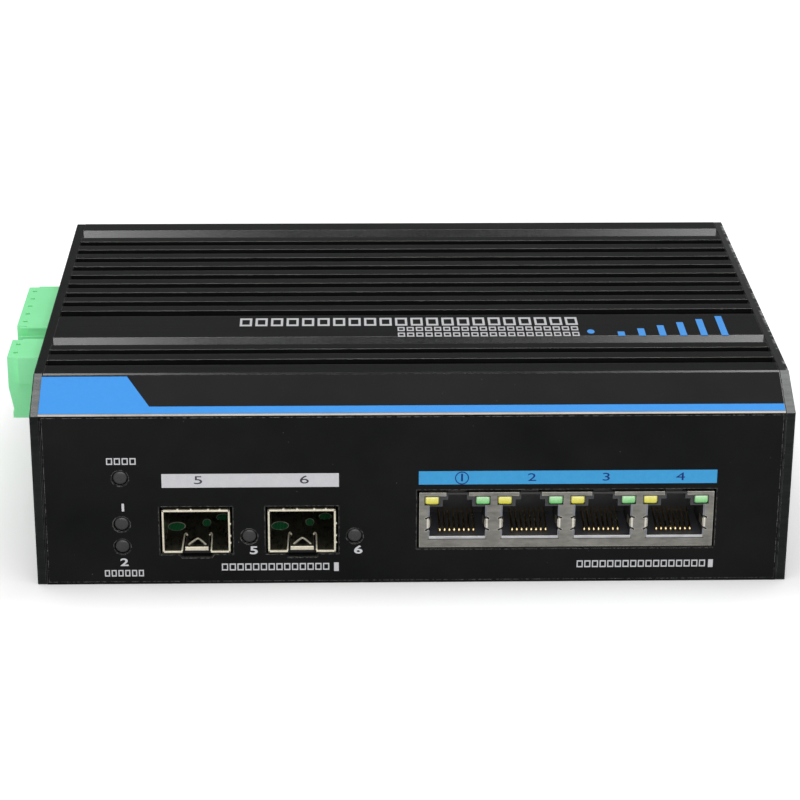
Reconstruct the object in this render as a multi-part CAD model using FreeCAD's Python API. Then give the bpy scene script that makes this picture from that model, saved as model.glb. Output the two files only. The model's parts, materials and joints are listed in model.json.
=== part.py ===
import FreeCAD, Part
import math
import os

# DIN rail ethernet switch. Millimetres; X to the right along the front, Y to the rear, Z up.
# Origin: centre of the underside of the case.

# Case
case_width = 158.0
case_depth = 112.0
case_height = 43.5
end_plate_thickness = 2.0
wall = 2.0
roof = 4.5
shoulder_run = 10.9
shoulder_drop = 5.25
rear_bevel = 1.0
base_thickness = 2.0
foot_width = 1.0
fit_gap = 0.1

# Top grooves: distance from the front face, width and run of a sloped rear wall
groove_depth = 3.0
slope_run = 2.8
rim_groove_start = 15.4
rim_groove_width = 3.2
second_groove_start = 21.9
second_groove_width = 2.7
band_groove_start = 27.6
band_groove_width = 4.4
fin_field_start = 45.3
fin_field_groove = 3.5
fin_pitch = 6.05
fin_thickness = 3.1
last_groove_width = 5.5
rear_rim = 6.2

# Screw channels in the extrusion, and the screws; what is small and round is drawn with flats
small_flats = 10
channel_block = 5.6
ledge_height = 3.4
tap_radius = 1.05
screw_radius = 1.0
clearance_radius = 1.35
head_radius = 2.35
head_height = 1.35
pan_radius = 2.3
pan_height = 1.6
end_screw_length = 8.0
base_screw_length = 5.0
base_screw_x = 58.0
driver_radius = 0.9
driver_depth = 0.7
hex_sides = 6

# Printed films
film = 0.2
film_margin = 2.4
film_bottom = 0.6
film_top = 0.3
shoulder_film_start = 0.03
shoulder_film_end = 0.93
film_hole_gap = 0.15

# Boards
board_thickness = 1.6
board_front_gap = 0.4
board_side_gap = 2.0
board_rear_gap = 7.6
standoff_radius = 2.6
standoff_inset_x = 6.0
standoff_inset_y = 8.0
board_screw_length = 4.4
power_board_thickness = 1.2
pad_thickness = 0.95
pad_inset = 18.0
power_board_left_gap = 0.8
power_board_width = 66.0
power_board_depth = 64.0
power_board_rear_gap = 16.0
power_screw_left = 14.0
power_screw_right = 5.0
power_screw_front = 8.65
power_screw_rear = 13.4
screw_end_gap = 0.3
power_boss_radius = 3.0

# Four-port copper jack
port_count = 4
port_pitch = 15.24
jack_centre = 32.1
jack_side = 7.99
jack_bottom = 8.3
jack_top = 20.83
jack_proud = 0.4
jack_depth = 21.2
jack_sheet = 0.25
jack_gap = 0.05
jack_panel_gap = 0.4
port_half_width = 5.94
port_lip = 10.84
port_floor = 10.3
port_ceiling = 17.55
port_depth = 13.4
key_half_width = 3.1
key_ceiling = 19.1
latch_half_width = 1.98
latch_window_half = 2.36
lamp_inner = 3.8
lamp_outer = 6.85
lamp_bottom = 18.0
lamp_top = 20.0
lamp_depth = 5.0
jack_peg_half = 0.7
jack_peg_inset = 6.0
lip_depth = 1.1
wire_count = 8
wire_pitch = 1.016
wire_width = 0.42
wire_thickness = 0.3
wire_front = 2.6
wire_rise = 2.3
wire_back = 1.2
wire_hook = 0.8

# Fibre module cages
cage_count = 2
cage_pitch = 22.1
cage_centre = -34.33
cage_width = 14.15
cage_bottom = 7.5
cage_top = 17.25
cage_proud = 0.6
cage_depth = 48.8
cage_sheet = 0.3
cage_panel_gap = 0.5
cage_leg = 1.5
tongue_half_width = 2.48
tongue_slot = 0.5
tongue_length = 9.0
tongue_front = 1.2
tongue_bend = 2.3
tongue_lift = 0.18
tongue_drop = 0.1
catch_half_width = 1.5
catch_front = 3.0
catch_rear = 6.4
notch_top_half = 3.62
notch_bottom_half = 2.93
notch_bottom = 6.2
connector_half_width = 5.8
connector_front = 38.6
connector_depth = 8.6
connector_height = 6.6
card_slot_height = 1.4
card_slot_half = 5.0
card_slot_depth = 6.0
card_slot_rise = 2.6

# Lamps beside the ports
lamp_radius = 1.5
lamp_dome = 0.8
lamp_dome_radius = 0.9
lamp_hole_radius = 1.7
lamp_hole_flats = 12
lamp_recess = 0.6
lamp_length = 6.4
status_x = -60.9
alarm_z = 24.4
power_lamp_z = (13.92, 8.75)
fibre_lamp_offset = 11.05
fibre_lamp_z = 10.95
holder_half_width = 2.9
holder_depth = 6.0
holder_cap = 2.3
holder_setback = 4.4
holder_lift = 4.6

# Parts on the main board, placed by X and by the distance behind the board's front edge
chip_centre = (14.0, 57.6)
chip_size = 20.0
chip_height = 1.4
sink_size = 26.0
sink_base = 2.0
sink_height = 12.0
sink_fins = 6
sink_fin = 1.3
magnetics_width = 12.6
magnetics_depth = 9.0
magnetics_height = 5.4
magnetics_gap = 2.7
controller_centre = (44.0, 59.6)
controller_size = 9.0
controller_height = 0.9
crystal_centre = (-6.0, 57.6)
crystal_length = 11.4
crystal_radius = 2.3
crystal_height = 3.5

# Parts on the power board, placed by X and by the distance ahead of the board's rear edge
transformer_centre = (-34.0, 36.0)
transformer_size = 20.0
transformer_height = 15.0
bobbin_radius = 7.4
core_leg = 3.4
core_cap = 3.8
capacitor_radius = 5.0
can_flats = 14
capacitor_height = 14.0
capacitor_places = ((-60.0, 5.0), (-47.0, 5.0), (-34.0, 5.0))
inductor_size = 10.0
inductor_height = 5.0
inductor_places = ((-56.0, 35.0), (-56.0, 21.0))
transistor_places = ((-21.0, 21.0), (-24.0, 5.0))
transistor_size = 7.0
transistor_height = 2.3
relay_centre = (-46.0, 53.0)
relay_width = 15.4
relay_depth = 10.4
relay_height = 11.0
link_x = -13.5
link_from_rear = 32.0
link_count = 6
link_pitch = 2.54
link_pin = 0.64
link_body_width = 2.6
link_body_height = 8.5
link_base_height = 2.5

# Pluggable terminal blocks on the left, placed by the distance ahead of the power board's rear edge
way_pitch = 5.08
power_ways = 5
power_from_rear = 23.4
alarm_ways = 2
alarm_from_rear = 50.8
plug_end_wall = 0.3
plug_reach = 9.0
plug_gap = 0.3
plug_height = 14.35
plug_shoulder = 7.1
plug_knee_z = 12.74
plug_knee_x = 1.08
plug_lip_x = 0.75
plug_rib = 0.6
plug_rib_start = 2.3
plug_rib_height = 6.0
header_height = 8.6
header_wall = 0.8
header_back = 2.0
header_depth = 8.7
header_proud = 0.2
header_side = 0.25
socket_gap = 0.15
entry_width = 3.4
entry_height = 4.0
entry_top = 2.2
entry_depth = 7.0
clamp_wall = 0.5
clamp_length = 4.2
clamp_inset = 1.6
clamp_gap = 0.1
clamp_screw_radius = 1.5
clamp_bore_radius = 1.7
clamp_screw_recess = 1.2
pin_size = 1.0
pin_z = 4.2
pin_tip = 1.2
pin_bend = 2.0
pit_size = 1.0
pit_depth = 1.2
pit_inset = 1.6

# DIN rail clip on the rear
rail_width = 35.0
rail_flange = 1.0
rail_play = 0.4
clip_sheet = 2.0
clip_half_height = 15.5
clip_tail = 36.0
hook_clearance = 0.7
hook_reach = 3.0
latch_half = 6.0
latch_flange_half = 8.0
latch_flange = 1.6
latch_run = 0.1
latch_tail = 42.0
latch_travel = 3.5
guide_sheet = 1.2
guide_front = 33.0
guide_rear = 21.0
guide_gap = 0.2
slot_half = 2.6
slot_length = 3.5
slot_end = 2.0
window_half = 2.2
window_left = 31.4
window_right = 22.4
lug_thickness = 1.2
lug_gap = 0.2
lug_half = 1.8
spring_radius = 1.2
spring_wire = 0.3
spring_turns = 4
turn_flats = 8
clip_screw_x = 9.0
clip_screw_z = 9.5

# Worked out from the sizes above
front = -case_depth / 2
rear = case_depth / 2
side = case_width / 2
inner_side = side - end_plate_thickness
ceiling = case_height - roof
shoulder = case_height - shoulder_drop
board_bottom = base_thickness + ledge_height
board_top = board_bottom + board_thickness
jack_width = (port_count - 1) * port_pitch + 2 * jack_side
board_front = front + wall + board_front_gap
board_rear = rear - wall - board_rear_gap
board_side = inner_side - board_side_gap
power_top = ceiling - pad_thickness
power_bottom = power_top - power_board_thickness
power_left = -inner_side + power_board_left_gap
power_right = power_left + power_board_width
power_rear = rear - wall - power_board_rear_gap
power_front = power_rear - power_board_depth
power_screw_tip = ceiling + roof - groove_depth - screw_end_gap
link_y = power_rear - link_from_rear
middle_z = case_height / 2
first_fin = fin_field_start + fin_field_groove
fin_room = case_depth - rear_rim - last_groove_width - fin_thickness - first_fin
fin_count = round(fin_room / fin_pitch) + 1


def box(x0, x1, y0, y1, z0, z1):
    return Part.makeBox(x1 - x0, y1 - y0, z1 - z0, FreeCAD.Vector(x0, y0, z0))


def polyhedron(faces):
    """Solid from flat faces, each a list of corners."""
    return Part.Solid(Part.Shell([Part.Face(Part.makePolygon(corners + corners[:1])) for corners in faces]))


def flats(start, end, radius, end_radius=None, sides=small_flats):
    """Small round bar or cone between two points, with flats in place of a curved wall."""
    base = FreeCAD.Vector(*start)
    tip = FreeCAD.Vector(*end)
    run = (tip - base).normalize()
    across = FreeCAD.Vector(run.y, run.z, run.x)
    other = run.cross(across)
    rings = []
    for centre, size in ((base, radius), (tip, radius if end_radius is None else end_radius)):
        turns = [2 * math.pi * (k + 0.5) / sides for k in range(sides)]
        rings.append([centre + across * (size * math.cos(t)) + other * (size * math.sin(t)) for t in turns])
    low, high = rings
    walls = [[low[k], low[k - 1], high[k - 1], high[k]] for k in range(sides)]
    return polyhedron(walls + [low, high[::-1]])


def prism(points, axis, low, high):
    """Closed outline in the plane across an axis, extruded from low to high along it."""
    place = {
        "x": lambda a, b: FreeCAD.Vector(low, a, b),
        "y": lambda a, b: FreeCAD.Vector(a, low, b),
        "z": lambda a, b: FreeCAD.Vector(a, b, low),
    }[axis]
    run = {"x": FreeCAD.Vector(1, 0, 0), "y": FreeCAD.Vector(0, 1, 0), "z": FreeCAD.Vector(0, 0, 1)}[axis]
    corners = [place(a, b) for a, b in points]
    face = Part.Face(Part.makePolygon(corners + corners[:1]))
    return face.extrude(run * (high - low))


def strip(path, thickness):
    """Outline of a bent strip: a path in a plane, thickened equally to both sides with mitred bends."""
    half = thickness / 2
    normals = []
    for (a0, b0), (a1, b1) in zip(path, path[1:]):
        length = math.hypot(a1 - a0, b1 - b0)
        normals.append((-(b1 - b0) / length, (a1 - a0) / length))
    left, right = [], []
    for index, (a, b) in enumerate(path):
        before = normals[max(index - 1, 0)]
        after = normals[min(index, len(normals) - 1)]
        share = half / (1 + before[0] * after[0] + before[1] * after[1])
        shift = ((before[0] + after[0]) * share, (before[1] + after[1]) * share)
        left.append((a + shift[0], b + shift[1]))
        right.append((a - shift[0], b - shift[1]))
    return left + right[::-1]


def fuse(first, *others):
    return first.fuse(list(others)).removeSplitter() if others else first


def cut(shape, tools):
    return shape.cut(list(tools))


def save(name, *solids):
    """One STEP file per node; a node of several like pieces is a group of separate solids."""
    shape = solids[0] if len(solids) == 1 else Part.makeCompound(list(solids))
    shape.exportStep("parts/" + name + ".step")


def moved(shape, x=0.0, y=0.0, z=0.0):
    copy = shape.copy()
    copy.translate(FreeCAD.Vector(x, y, z))
    return copy


def along(start, direction, distance):
    return tuple(a + b * distance for a, b in zip(start, direction))


def flat_screw(point, inward, length):
    """Countersunk screw whose head lies flush at the point."""
    neck = along(point, inward, head_height)
    head = flats(point, neck, head_radius, screw_radius)
    shank = flats(neck, along(point, inward, length), screw_radius)
    socket = flats(point, along(point, inward, driver_depth), driver_radius, sides=hex_sides)
    return fuse(head, shank).cut(socket)


def flat_hole(point, inward, thickness):
    """Countersunk clearance hole for a flat_screw."""
    outside = along(point, inward, -fit_gap)
    sink = flats(outside, along(point, inward, head_height), head_radius + 2 * fit_gap, clearance_radius)
    through = flats(outside, along(point, inward, thickness + fit_gap), clearance_radius)
    return fuse(sink, through)


def tapped(start, end):
    """Hole that a screw's thread cuts into."""
    return flats(start, end, tap_radius)


def pan_screw(point, inward, length):
    """Pan head screw whose head rests on the surface at the point."""
    top = along(point, inward, -pan_height)
    head = flats(top, point, pan_radius)
    return fuse(head, flats(point, along(point, inward, length), screw_radius))


# Places that several pieces share
port_centres = [jack_centre + (k - (port_count - 1) / 2) * port_pitch for k in range(port_count)]
cage_centres = [cage_centre + (k - (cage_count - 1) / 2) * cage_pitch for k in range(cage_count)]
channel_y = rear - wall - channel_block / 2
channel_spots = [
    (y, z)
    for y in (-channel_y, channel_y)
    for z in (base_thickness + ledge_height / 2, ceiling - channel_block / 2)
]
base_screw_spots = [(x, y) for x in (-base_screw_x, base_screw_x) for y in (-channel_y, channel_y)]
standoff_spots = [
    (x, y)
    for x in (-board_side + standoff_inset_x, board_side - standoff_inset_x)
    for y in (board_front + standoff_inset_y, board_rear - standoff_inset_y)
]
power_screw_spots = [
    (x, y)
    for x in (power_left + power_screw_left, power_right - power_screw_right)
    for y in (power_front + power_screw_front, power_rear - power_screw_rear)
]
clip_screw_spots = [(x, middle_z + z) for x in (-clip_screw_x, clip_screw_x) for z in (-clip_screw_z, clip_screw_z)]
lamp_spots = {
    "alarm_lamp": (status_x, alarm_z),
    "power_lamp_1": (status_x, power_lamp_z[0]),
    "power_lamp_2": (status_x, power_lamp_z[1]),
    "fibre_lamp_1": (cage_centres[0] + fibre_lamp_offset, fibre_lamp_z),
    "fibre_lamp_2": (cage_centres[1] + fibre_lamp_offset, fibre_lamp_z),
}
terminals = {"power": (power_ways, power_rear - power_from_rear), "alarm": (alarm_ways, power_rear - alarm_from_rear)}


def way_places(ways, centre):
    return [centre + (k - (ways - 1) / 2) * way_pitch for k in range(ways)]


def groove_points(start, width, slope):
    """One groove in the top, front to rear; its rear wall leans back by the slope."""
    floor = case_height - groove_depth
    y = front + start
    return [(y, case_height), (y, floor), (y + width - slope, floor), (y + width, case_height)]


def panel_cuts(clearance, y0, y1, sides):
    """Cut-outs in the front wall or its film, widened by a clearance; sides gives the flats of a lamp's hole."""
    half = jack_width / 2 + jack_panel_gap + clearance
    cuts = [box(jack_centre - half, jack_centre + half, y0, y1,
                jack_bottom - jack_panel_gap - clearance, jack_top + jack_panel_gap + clearance)]
    for x in cage_centres:
        half = cage_width / 2 + cage_panel_gap + clearance
        low = cage_bottom - cage_panel_gap - clearance
        cuts.append(box(x - half, x + half, y0, y1, low, cage_top + cage_panel_gap + clearance))
        top_half = notch_top_half + clearance
        bottom_half = notch_bottom_half + clearance
        notch = [(x - bottom_half, notch_bottom - clearance), (x + bottom_half, notch_bottom - clearance),
                 (x + top_half, low + fit_gap), (x - top_half, low + fit_gap)]
        cuts.append(prism(notch, "y", y0, y1))
    for x, z in lamp_spots.values():
        cuts.append(flats((x, y0, z), (x, y1, z), lamp_hole_radius + clearance, sides=sides))
    return cuts


def finned_profile():
    outline = [(front, 0), (front, shoulder), (front + shoulder_run, case_height)]
    outline += groove_points(rim_groove_start, rim_groove_width, 0)
    outline += groove_points(second_groove_start, second_groove_width, 0)
    outline += groove_points(band_groove_start, band_groove_width, slope_run)
    outline += groove_points(fin_field_start, fin_field_groove, 0)
    for k in range(fin_count - 1):
        start = first_fin + k * fin_pitch + fin_thickness
        outline += groove_points(start, fin_pitch - fin_thickness, 0)
    last = first_fin + (fin_count - 1) * fin_pitch + fin_thickness
    outline += groove_points(last, last_groove_width, slope_run)
    outline += [(rear - rear_bevel, case_height), (rear, case_height - rear_bevel), (rear, 0)]
    inside = rear - wall
    half_inside = [
        (rear - foot_width, 0), (rear - foot_width, base_thickness),
        (inside - channel_block, base_thickness), (inside - channel_block, base_thickness + ledge_height),
        (inside, base_thickness + ledge_height), (inside, ceiling - channel_block),
        (inside - channel_block, ceiling - channel_block), (inside - channel_block, ceiling),
    ]
    outline += half_inside + [(-y, z) for y, z in half_inside[::-1]]
    body = prism(outline, "x", -inner_side, inner_side)
    bosses = [flats((x, y, power_top), (x, y, ceiling + fit_gap), power_boss_radius) for x, y in power_screw_spots]
    cuts = panel_cuts(0, front - wall, front + wall + fit_gap, small_flats)
    cuts += [tapped((-side, y, z), (side, y, z)) for y, z in channel_spots]
    cuts += [tapped((x, y, 0), (x, y, board_bottom + fit_gap)) for x, y in base_screw_spots]
    cuts += [tapped((x, y, power_bottom), (x, y, power_screw_tip + fit_gap)) for x, y in power_screw_spots]
    cuts += [tapped((x, rear - wall - fit_gap, z), (x, rear + fit_gap, z)) for x, z in clip_screw_spots]
    save("finned_profile", cut(fuse(body, *bosses), cuts))


def base_plate():
    half = rear - foot_width - fit_gap
    plate = box(-inner_side, inner_side, -half, half, 0, base_thickness)
    holes = [flat_hole((x, y, 0), (0, 0, 1), base_thickness) for x, y in base_screw_spots]
    save("base_plate", cut(plate, holes))
    save("base_screws", *[flat_screw((x, y, 0), (0, 0, 1), base_screw_length) for x, y in base_screw_spots])


def header_half(ways):
    return (ways * way_pitch) / 2 + plug_end_wall + header_side


def end_plates():
    outline = [(front, 0), (front, shoulder), (front + shoulder_run, case_height),
               (rear - rear_bevel, case_height), (rear, case_height - rear_bevel), (rear, 0)]
    screws = []
    for name, sign in (("left", -1), ("right", 1)):
        low, high = sorted((sign * inner_side, sign * side))
        plate = prism(outline, "x", low, high)
        inward = (-sign, 0, 0)
        holes = [flat_hole((sign * side, y, z), inward, end_plate_thickness) for y, z in channel_spots]
        screws += [flat_screw((sign * side, y, z), inward, end_screw_length) for y, z in channel_spots]
        if name == "left":
            for ways, centre in terminals.values():
                half = header_half(ways) + plug_gap
                holes.append(box(low - wall, high + wall, centre - half, centre + half,
                                 power_bottom - header_height - plug_gap, power_bottom + plug_gap))
        save("end_plate_" + name, cut(plate, holes))
    save("end_plate_screws", *screws)


def films():
    """Thin printed films on the front face and on the sloped shoulder."""
    sheet = box(-side + film_margin, side - film_margin, front - film, front, film_bottom, shoulder - film_top)
    save("front_label", cut(sheet, panel_cuts(film_hole_gap, front - wall, front + wall, lamp_hole_flats)))
    length = math.hypot(shoulder_run, shoulder_drop)
    out_y = -shoulder_drop / length * film
    out_z = shoulder_run / length * film
    start = (front + shoulder_run * shoulder_film_start, shoulder + shoulder_drop * shoulder_film_start)
    end = (front + shoulder_run * shoulder_film_end, shoulder + shoulder_drop * shoulder_film_end)
    outline = [start, end, (end[0] + out_y, end[1] + out_z), (start[0] + out_y, start[1] + out_z)]
    save("shoulder_label", prism(outline, "x", -side + film_margin / 2, side - film_margin / 2))


def main_board():
    sheet = box(-board_side, board_side, board_front, board_rear, board_bottom, board_top)
    holes = [flats((x, y, 0), (x, y, case_height), clearance_radius) for x, y in standoff_spots]
    save("main_board", cut(sheet, holes))
    posts = []
    screws = []
    for x, y in standoff_spots:
        post = flats((x, y, base_thickness), (x, y, board_bottom), standoff_radius)
        posts.append(post.cut(tapped((x, y, base_thickness), (x, y, board_bottom))))
        screws.append(pan_screw((x, y, board_top), (0, 0, -1), board_screw_length))
    save("board_standoffs", *posts)
    save("board_screws", *screws)


def port_outline(x):
    """Mouth of one copper port: the plug's body, its key and the slot for its latch, open at the top."""
    steps = [(port_half_width, port_lip), (port_half_width, port_ceiling), (key_half_width, port_ceiling),
             (key_half_width, key_ceiling), (latch_half_width, key_ceiling), (latch_half_width, jack_top)]
    return [(x + a, z) for a, z in steps] + [(x - a, z) for a, z in steps[::-1]]


def copper_jack():
    face = front - jack_proud
    back = face + jack_depth
    half = jack_width / 2
    shell = box(jack_centre - half, jack_centre + half, face, back, jack_bottom, jack_top)
    hollow = box(jack_centre - half + jack_sheet, jack_centre + half - jack_sheet, face + jack_sheet,
                 back - jack_sheet, jack_bottom - jack_sheet, jack_top - jack_sheet)
    windows = []
    lips = []
    for x in port_centres:
        lips.append(box(x - port_half_width, x + port_half_width, face, face + lip_depth,
                        port_lip - jack_sheet, port_lip))
        windows.append(box(x - port_half_width, x + port_half_width, face - wall, face + jack_sheet + jack_gap,
                           port_lip, lamp_bottom))
        windows.append(box(x - lamp_outer, x + lamp_outer, face - wall, face + jack_sheet + jack_gap,
                           lamp_bottom, lamp_top))
        windows.append(box(x - latch_window_half, x + latch_window_half, face - wall, face + lamp_depth,
                           lamp_bottom, jack_top + jack_gap))
    save("jack_shield", fuse(cut(shell, [hollow] + windows), *lips))

    skin = jack_sheet + jack_gap
    body_front = face + skin
    body = box(jack_centre - half + skin, jack_centre + half - skin, body_front, back - skin,
               jack_bottom, jack_top - skin)
    cavities = []
    wires = []
    lamps = {-1: [], 1: []}
    for x in port_centres:
        cavities.append(prism(port_outline(x), "y", body_front - wall, body_front + port_depth))
        cavities.append(box(x - port_half_width - jack_gap, x + port_half_width + jack_gap, body_front - wall,
                            body_front + lip_depth, port_lip - skin, port_lip + fit_gap))
        cavities.append(box(x - port_half_width, x + port_half_width, body_front + lip_depth,
                            body_front + port_depth, port_floor, port_lip + fit_gap))
        for sign in (-1, 1):
            low, high = sorted((x + sign * lamp_inner, x + sign * lamp_outer))
            cavities.append(box(low - jack_gap, high + jack_gap, body_front - wall, body_front + lamp_depth,
                                lamp_bottom - jack_gap, lamp_top + jack_gap))
            lamps[sign].append(box(low, high, face, body_front + lamp_depth - jack_gap, lamp_bottom, lamp_top))
        low = port_floor + wire_thickness
        y0 = body_front + wire_front
        y1 = body_front + port_depth - wire_back
        path = [(y0 + wire_hook, low), (y0 - wire_hook / 2, low + wire_hook / 2),
                (y1, low + wire_hook + wire_rise), (y1 + wire_hook, low + wire_rise)]
        wire = prism(strip(path, wire_thickness), "x", -wire_width / 2, wire_width / 2)
        for k in range(wire_count):
            wires.append(moved(wire, x=x + (k - (wire_count - 1) / 2) * wire_pitch))
    pegs = [box(x - jack_peg_half, x + jack_peg_half, y - jack_peg_half, y + jack_peg_half, board_top, jack_bottom)
            for x in (jack_centre - half + jack_peg_inset, jack_centre + half - jack_peg_inset)
            for y in (board_front + jack_peg_inset, back - jack_peg_inset)]
    save("jack_body", fuse(cut(body, cavities), *pegs))
    save("jack_contacts", *wires)
    save("yellow_lamps", *lamps[-1])
    save("green_lamps", *lamps[1])


def fibre_cages():
    face = front - cage_proud
    for number, x in enumerate(cage_centres, 1):
        half = cage_width / 2
        inner = half - cage_sheet
        floor = cage_bottom + cage_sheet
        tube = box(x - half, x + half, face, face + cage_depth, cage_bottom, cage_top)
        hollow = box(x - inner, x + inner, face - wall, face + cage_depth - cage_sheet, floor,
                     cage_top - cage_sheet)
        well = box(x - connector_half_width - fit_gap, x + connector_half_width + fit_gap,
                   face + connector_front - fit_gap, face + connector_front + connector_depth + fit_gap,
                   cage_bottom - wall, floor + fit_gap)
        gap = tongue_half_width + tongue_slot
        slots = box(x - gap, x + gap, face - wall, face + tongue_length, cage_bottom - wall, floor)
        middle = cage_bottom + cage_sheet / 2
        path = [(face + tongue_length + wall, middle), (face + tongue_length, middle),
                (face + tongue_bend, middle + tongue_lift), (face + tongue_front, middle - tongue_drop)]
        catch = prism([(x - catch_half_width, face + catch_front), (x + catch_half_width, face + catch_front),
                       (x, face + catch_rear)], "z", cage_bottom - wall, floor + wall)
        tongue = prism(strip(path, cage_sheet), "x", x - tongue_half_width, x + tongue_half_width).cut(catch)
        legs = [box(*sorted((x + sign * inner, x + sign * half)), y, y + cage_leg, board_top, cage_bottom)
                for sign in (-1, 1) for y in (board_front + cage_leg, face + cage_depth - 2 * cage_leg)]
        save("fibre_cage_%d" % number, fuse(cut(tube, [hollow, well, slots]), tongue, *legs))
        y0 = face + connector_front
        block = box(x - connector_half_width, x + connector_half_width, y0, y0 + connector_depth,
                    board_top, board_top + connector_height)
        slot_z = board_top + card_slot_rise
        slot = box(x - card_slot_half, x + card_slot_half, y0 - wall, y0 + card_slot_depth,
                   slot_z, slot_z + card_slot_height)
        save("fibre_connector_%d" % number, block.cut(slot))


def status_lamps():
    tip = front + lamp_recess
    for name, (x, z) in lamp_spots.items():
        shoulder_y = tip + lamp_dome
        dome = flats((x, tip, z), (x, shoulder_y, z), lamp_dome_radius, lamp_radius)
        save(name, fuse(dome, flats((x, shoulder_y, z), (x, tip + lamp_length, z), lamp_radius)))
    holders = {
        "alarm_lamp_holder": (status_x, [alarm_z], power_lamp_z[0] + holder_cap + holder_lift),
        "power_lamp_holder": (status_x, list(power_lamp_z), board_top),
        "fibre_lamp_holder_1": (lamp_spots["fibre_lamp_1"][0], [fibre_lamp_z], board_top),
        "fibre_lamp_holder_2": (lamp_spots["fibre_lamp_2"][0], [fibre_lamp_z], board_top),
    }
    y0 = front + holder_setback
    for name, (x, heights, bottom) in holders.items():
        top = max(heights) + holder_cap
        block = box(x - holder_half_width, x + holder_half_width, y0, y0 + holder_depth, bottom, top)
        if name == "alarm_lamp_holder":
            block = fuse(block, box(x - holder_half_width, x + holder_half_width, y0 + holder_depth,
                                    y0 + holder_depth + wall, board_top, top))
        bores = [flats((x, y0 - wall, z), (x, tip + lamp_length, z), lamp_radius + jack_gap) for z in heights]
        save(name, cut(block, bores))


def on_board(place):
    """X and Y of a place given by the distance behind the main board's front edge."""
    return place[0], board_front + place[1]


def main_board_parts():
    x, y = on_board(chip_centre)
    half = chip_size / 2
    chip_top = board_top + chip_height
    save("switch_chip", box(x - half, x + half, y - half, y + half, board_top, chip_top))
    half = sink_size / 2
    outline = [(x - half, chip_top), (x + half, chip_top)]
    pitch = (sink_size - sink_fin) / (sink_fins - 1)
    for k in reversed(range(sink_fins)):
        left = x - half + k * pitch
        outline += [(left + sink_fin, chip_top + sink_base), (left + sink_fin, chip_top + sink_height),
                    (left, chip_top + sink_height), (left, chip_top + sink_base)]
    outline = outline[:2] + outline[3:-1]
    save("chip_heat_sink", prism(outline, "y", y - half, y + half))
    half_x = magnetics_width / 2
    low_y = front - jack_proud + jack_depth + magnetics_gap
    save("line_transformers", *[box(px - half_x, px + half_x, low_y, low_y + magnetics_depth,
                                    board_top, board_top + magnetics_height) for px in port_centres])
    x, y = on_board(controller_centre)
    half = controller_size / 2
    save("port_power_chip", box(x - half, x + half, y - half, y + half, board_top, board_top + controller_height))
    x, y = on_board(crystal_centre)
    run = crystal_length / 2 - crystal_radius
    can = fuse(box(x - run, x + run, y - crystal_radius, y + crystal_radius, board_top, board_top + crystal_height),
               flats((x - run, y, board_top), (x - run, y, board_top + crystal_height), crystal_radius),
               flats((x + run, y, board_top), (x + run, y, board_top + crystal_height), crystal_radius))
    save("clock_crystal", can)


def power_board():
    sheet = box(power_left, power_right, power_front, power_rear, power_bottom, power_top)
    pad = box(power_left + pad_inset, power_right - pad_inset, power_front + pad_inset,
              power_rear - pad_inset, power_top, ceiling)
    tools = [flats((x, y, power_bottom - wall), (x, y, ceiling), clearance_radius) for x, y in power_screw_spots]
    for ways, centre in terminals.values():
        for y in way_places(ways, centre):
            x = pin_rear()
            reach = pin_size / 2 + fit_gap
            tools.append(box(x - reach, x + reach, y - reach, y + reach, power_bottom - wall, ceiling + wall))
    for y in link_places():
        reach = link_pin / 2 + fit_gap
        tools.append(box(link_x - reach, link_x + reach, y - reach, y + reach, power_bottom - wall, ceiling + wall))
    save("power_board", cut(sheet, tools))
    save("thermal_pad", pad)
    save("power_board_screws", *[pan_screw((x, y, power_bottom), (0, 0, 1), power_screw_tip - power_bottom)
                                 for x, y in power_screw_spots])


def pin_rear():
    """Where the header pins turn up into the power board."""
    return -side - header_proud + header_depth + pin_bend


def link_places():
    return [link_y + (k - (link_count - 1) / 2) * link_pitch for k in range(link_count)]


def hanging(place, width, depth, height):
    """Block under the power board, at an X and a distance ahead of the board's rear edge."""
    x, y = place[0], power_rear - place[1]
    return box(x - width / 2, x + width / 2, y - depth / 2, y + depth / 2, power_bottom - height, power_bottom)


def power_board_parts():
    x, y = transformer_centre[0], power_rear - transformer_centre[1]
    half = transformer_size / 2
    core = hanging(transformer_centre, transformer_size, transformer_size, transformer_height)
    opening = box(x - half + core_leg, x + half - core_leg, y - half - fit_gap, y + half + fit_gap,
                  power_bottom - transformer_height + core_cap, power_bottom - core_cap)
    coil_body = flats((x, y, power_bottom - transformer_height + core_cap + fit_gap),
                      (x, y, power_bottom - core_cap - fit_gap), bobbin_radius, sides=can_flats)
    save("transformer_core", core.cut(opening))
    save("transformer_coil", coil_body.common(hanging(
        transformer_centre, transformer_size - 2 * core_leg - 2 * fit_gap, transformer_size, transformer_height)))
    save("capacitors", *[flats((x, power_rear - y, power_bottom - capacitor_height), (x, power_rear - y, power_bottom),
                               capacitor_radius, sides=can_flats) for x, y in capacitor_places])
    save("inductors", *[hanging(place, inductor_size, inductor_size, inductor_height) for place in inductor_places])
    save("power_transistors", *[hanging(place, transistor_size, transistor_size, transistor_height)
                                for place in transistor_places])
    save("alarm_relay", hanging(relay_centre, relay_width, relay_depth, relay_height))


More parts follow.
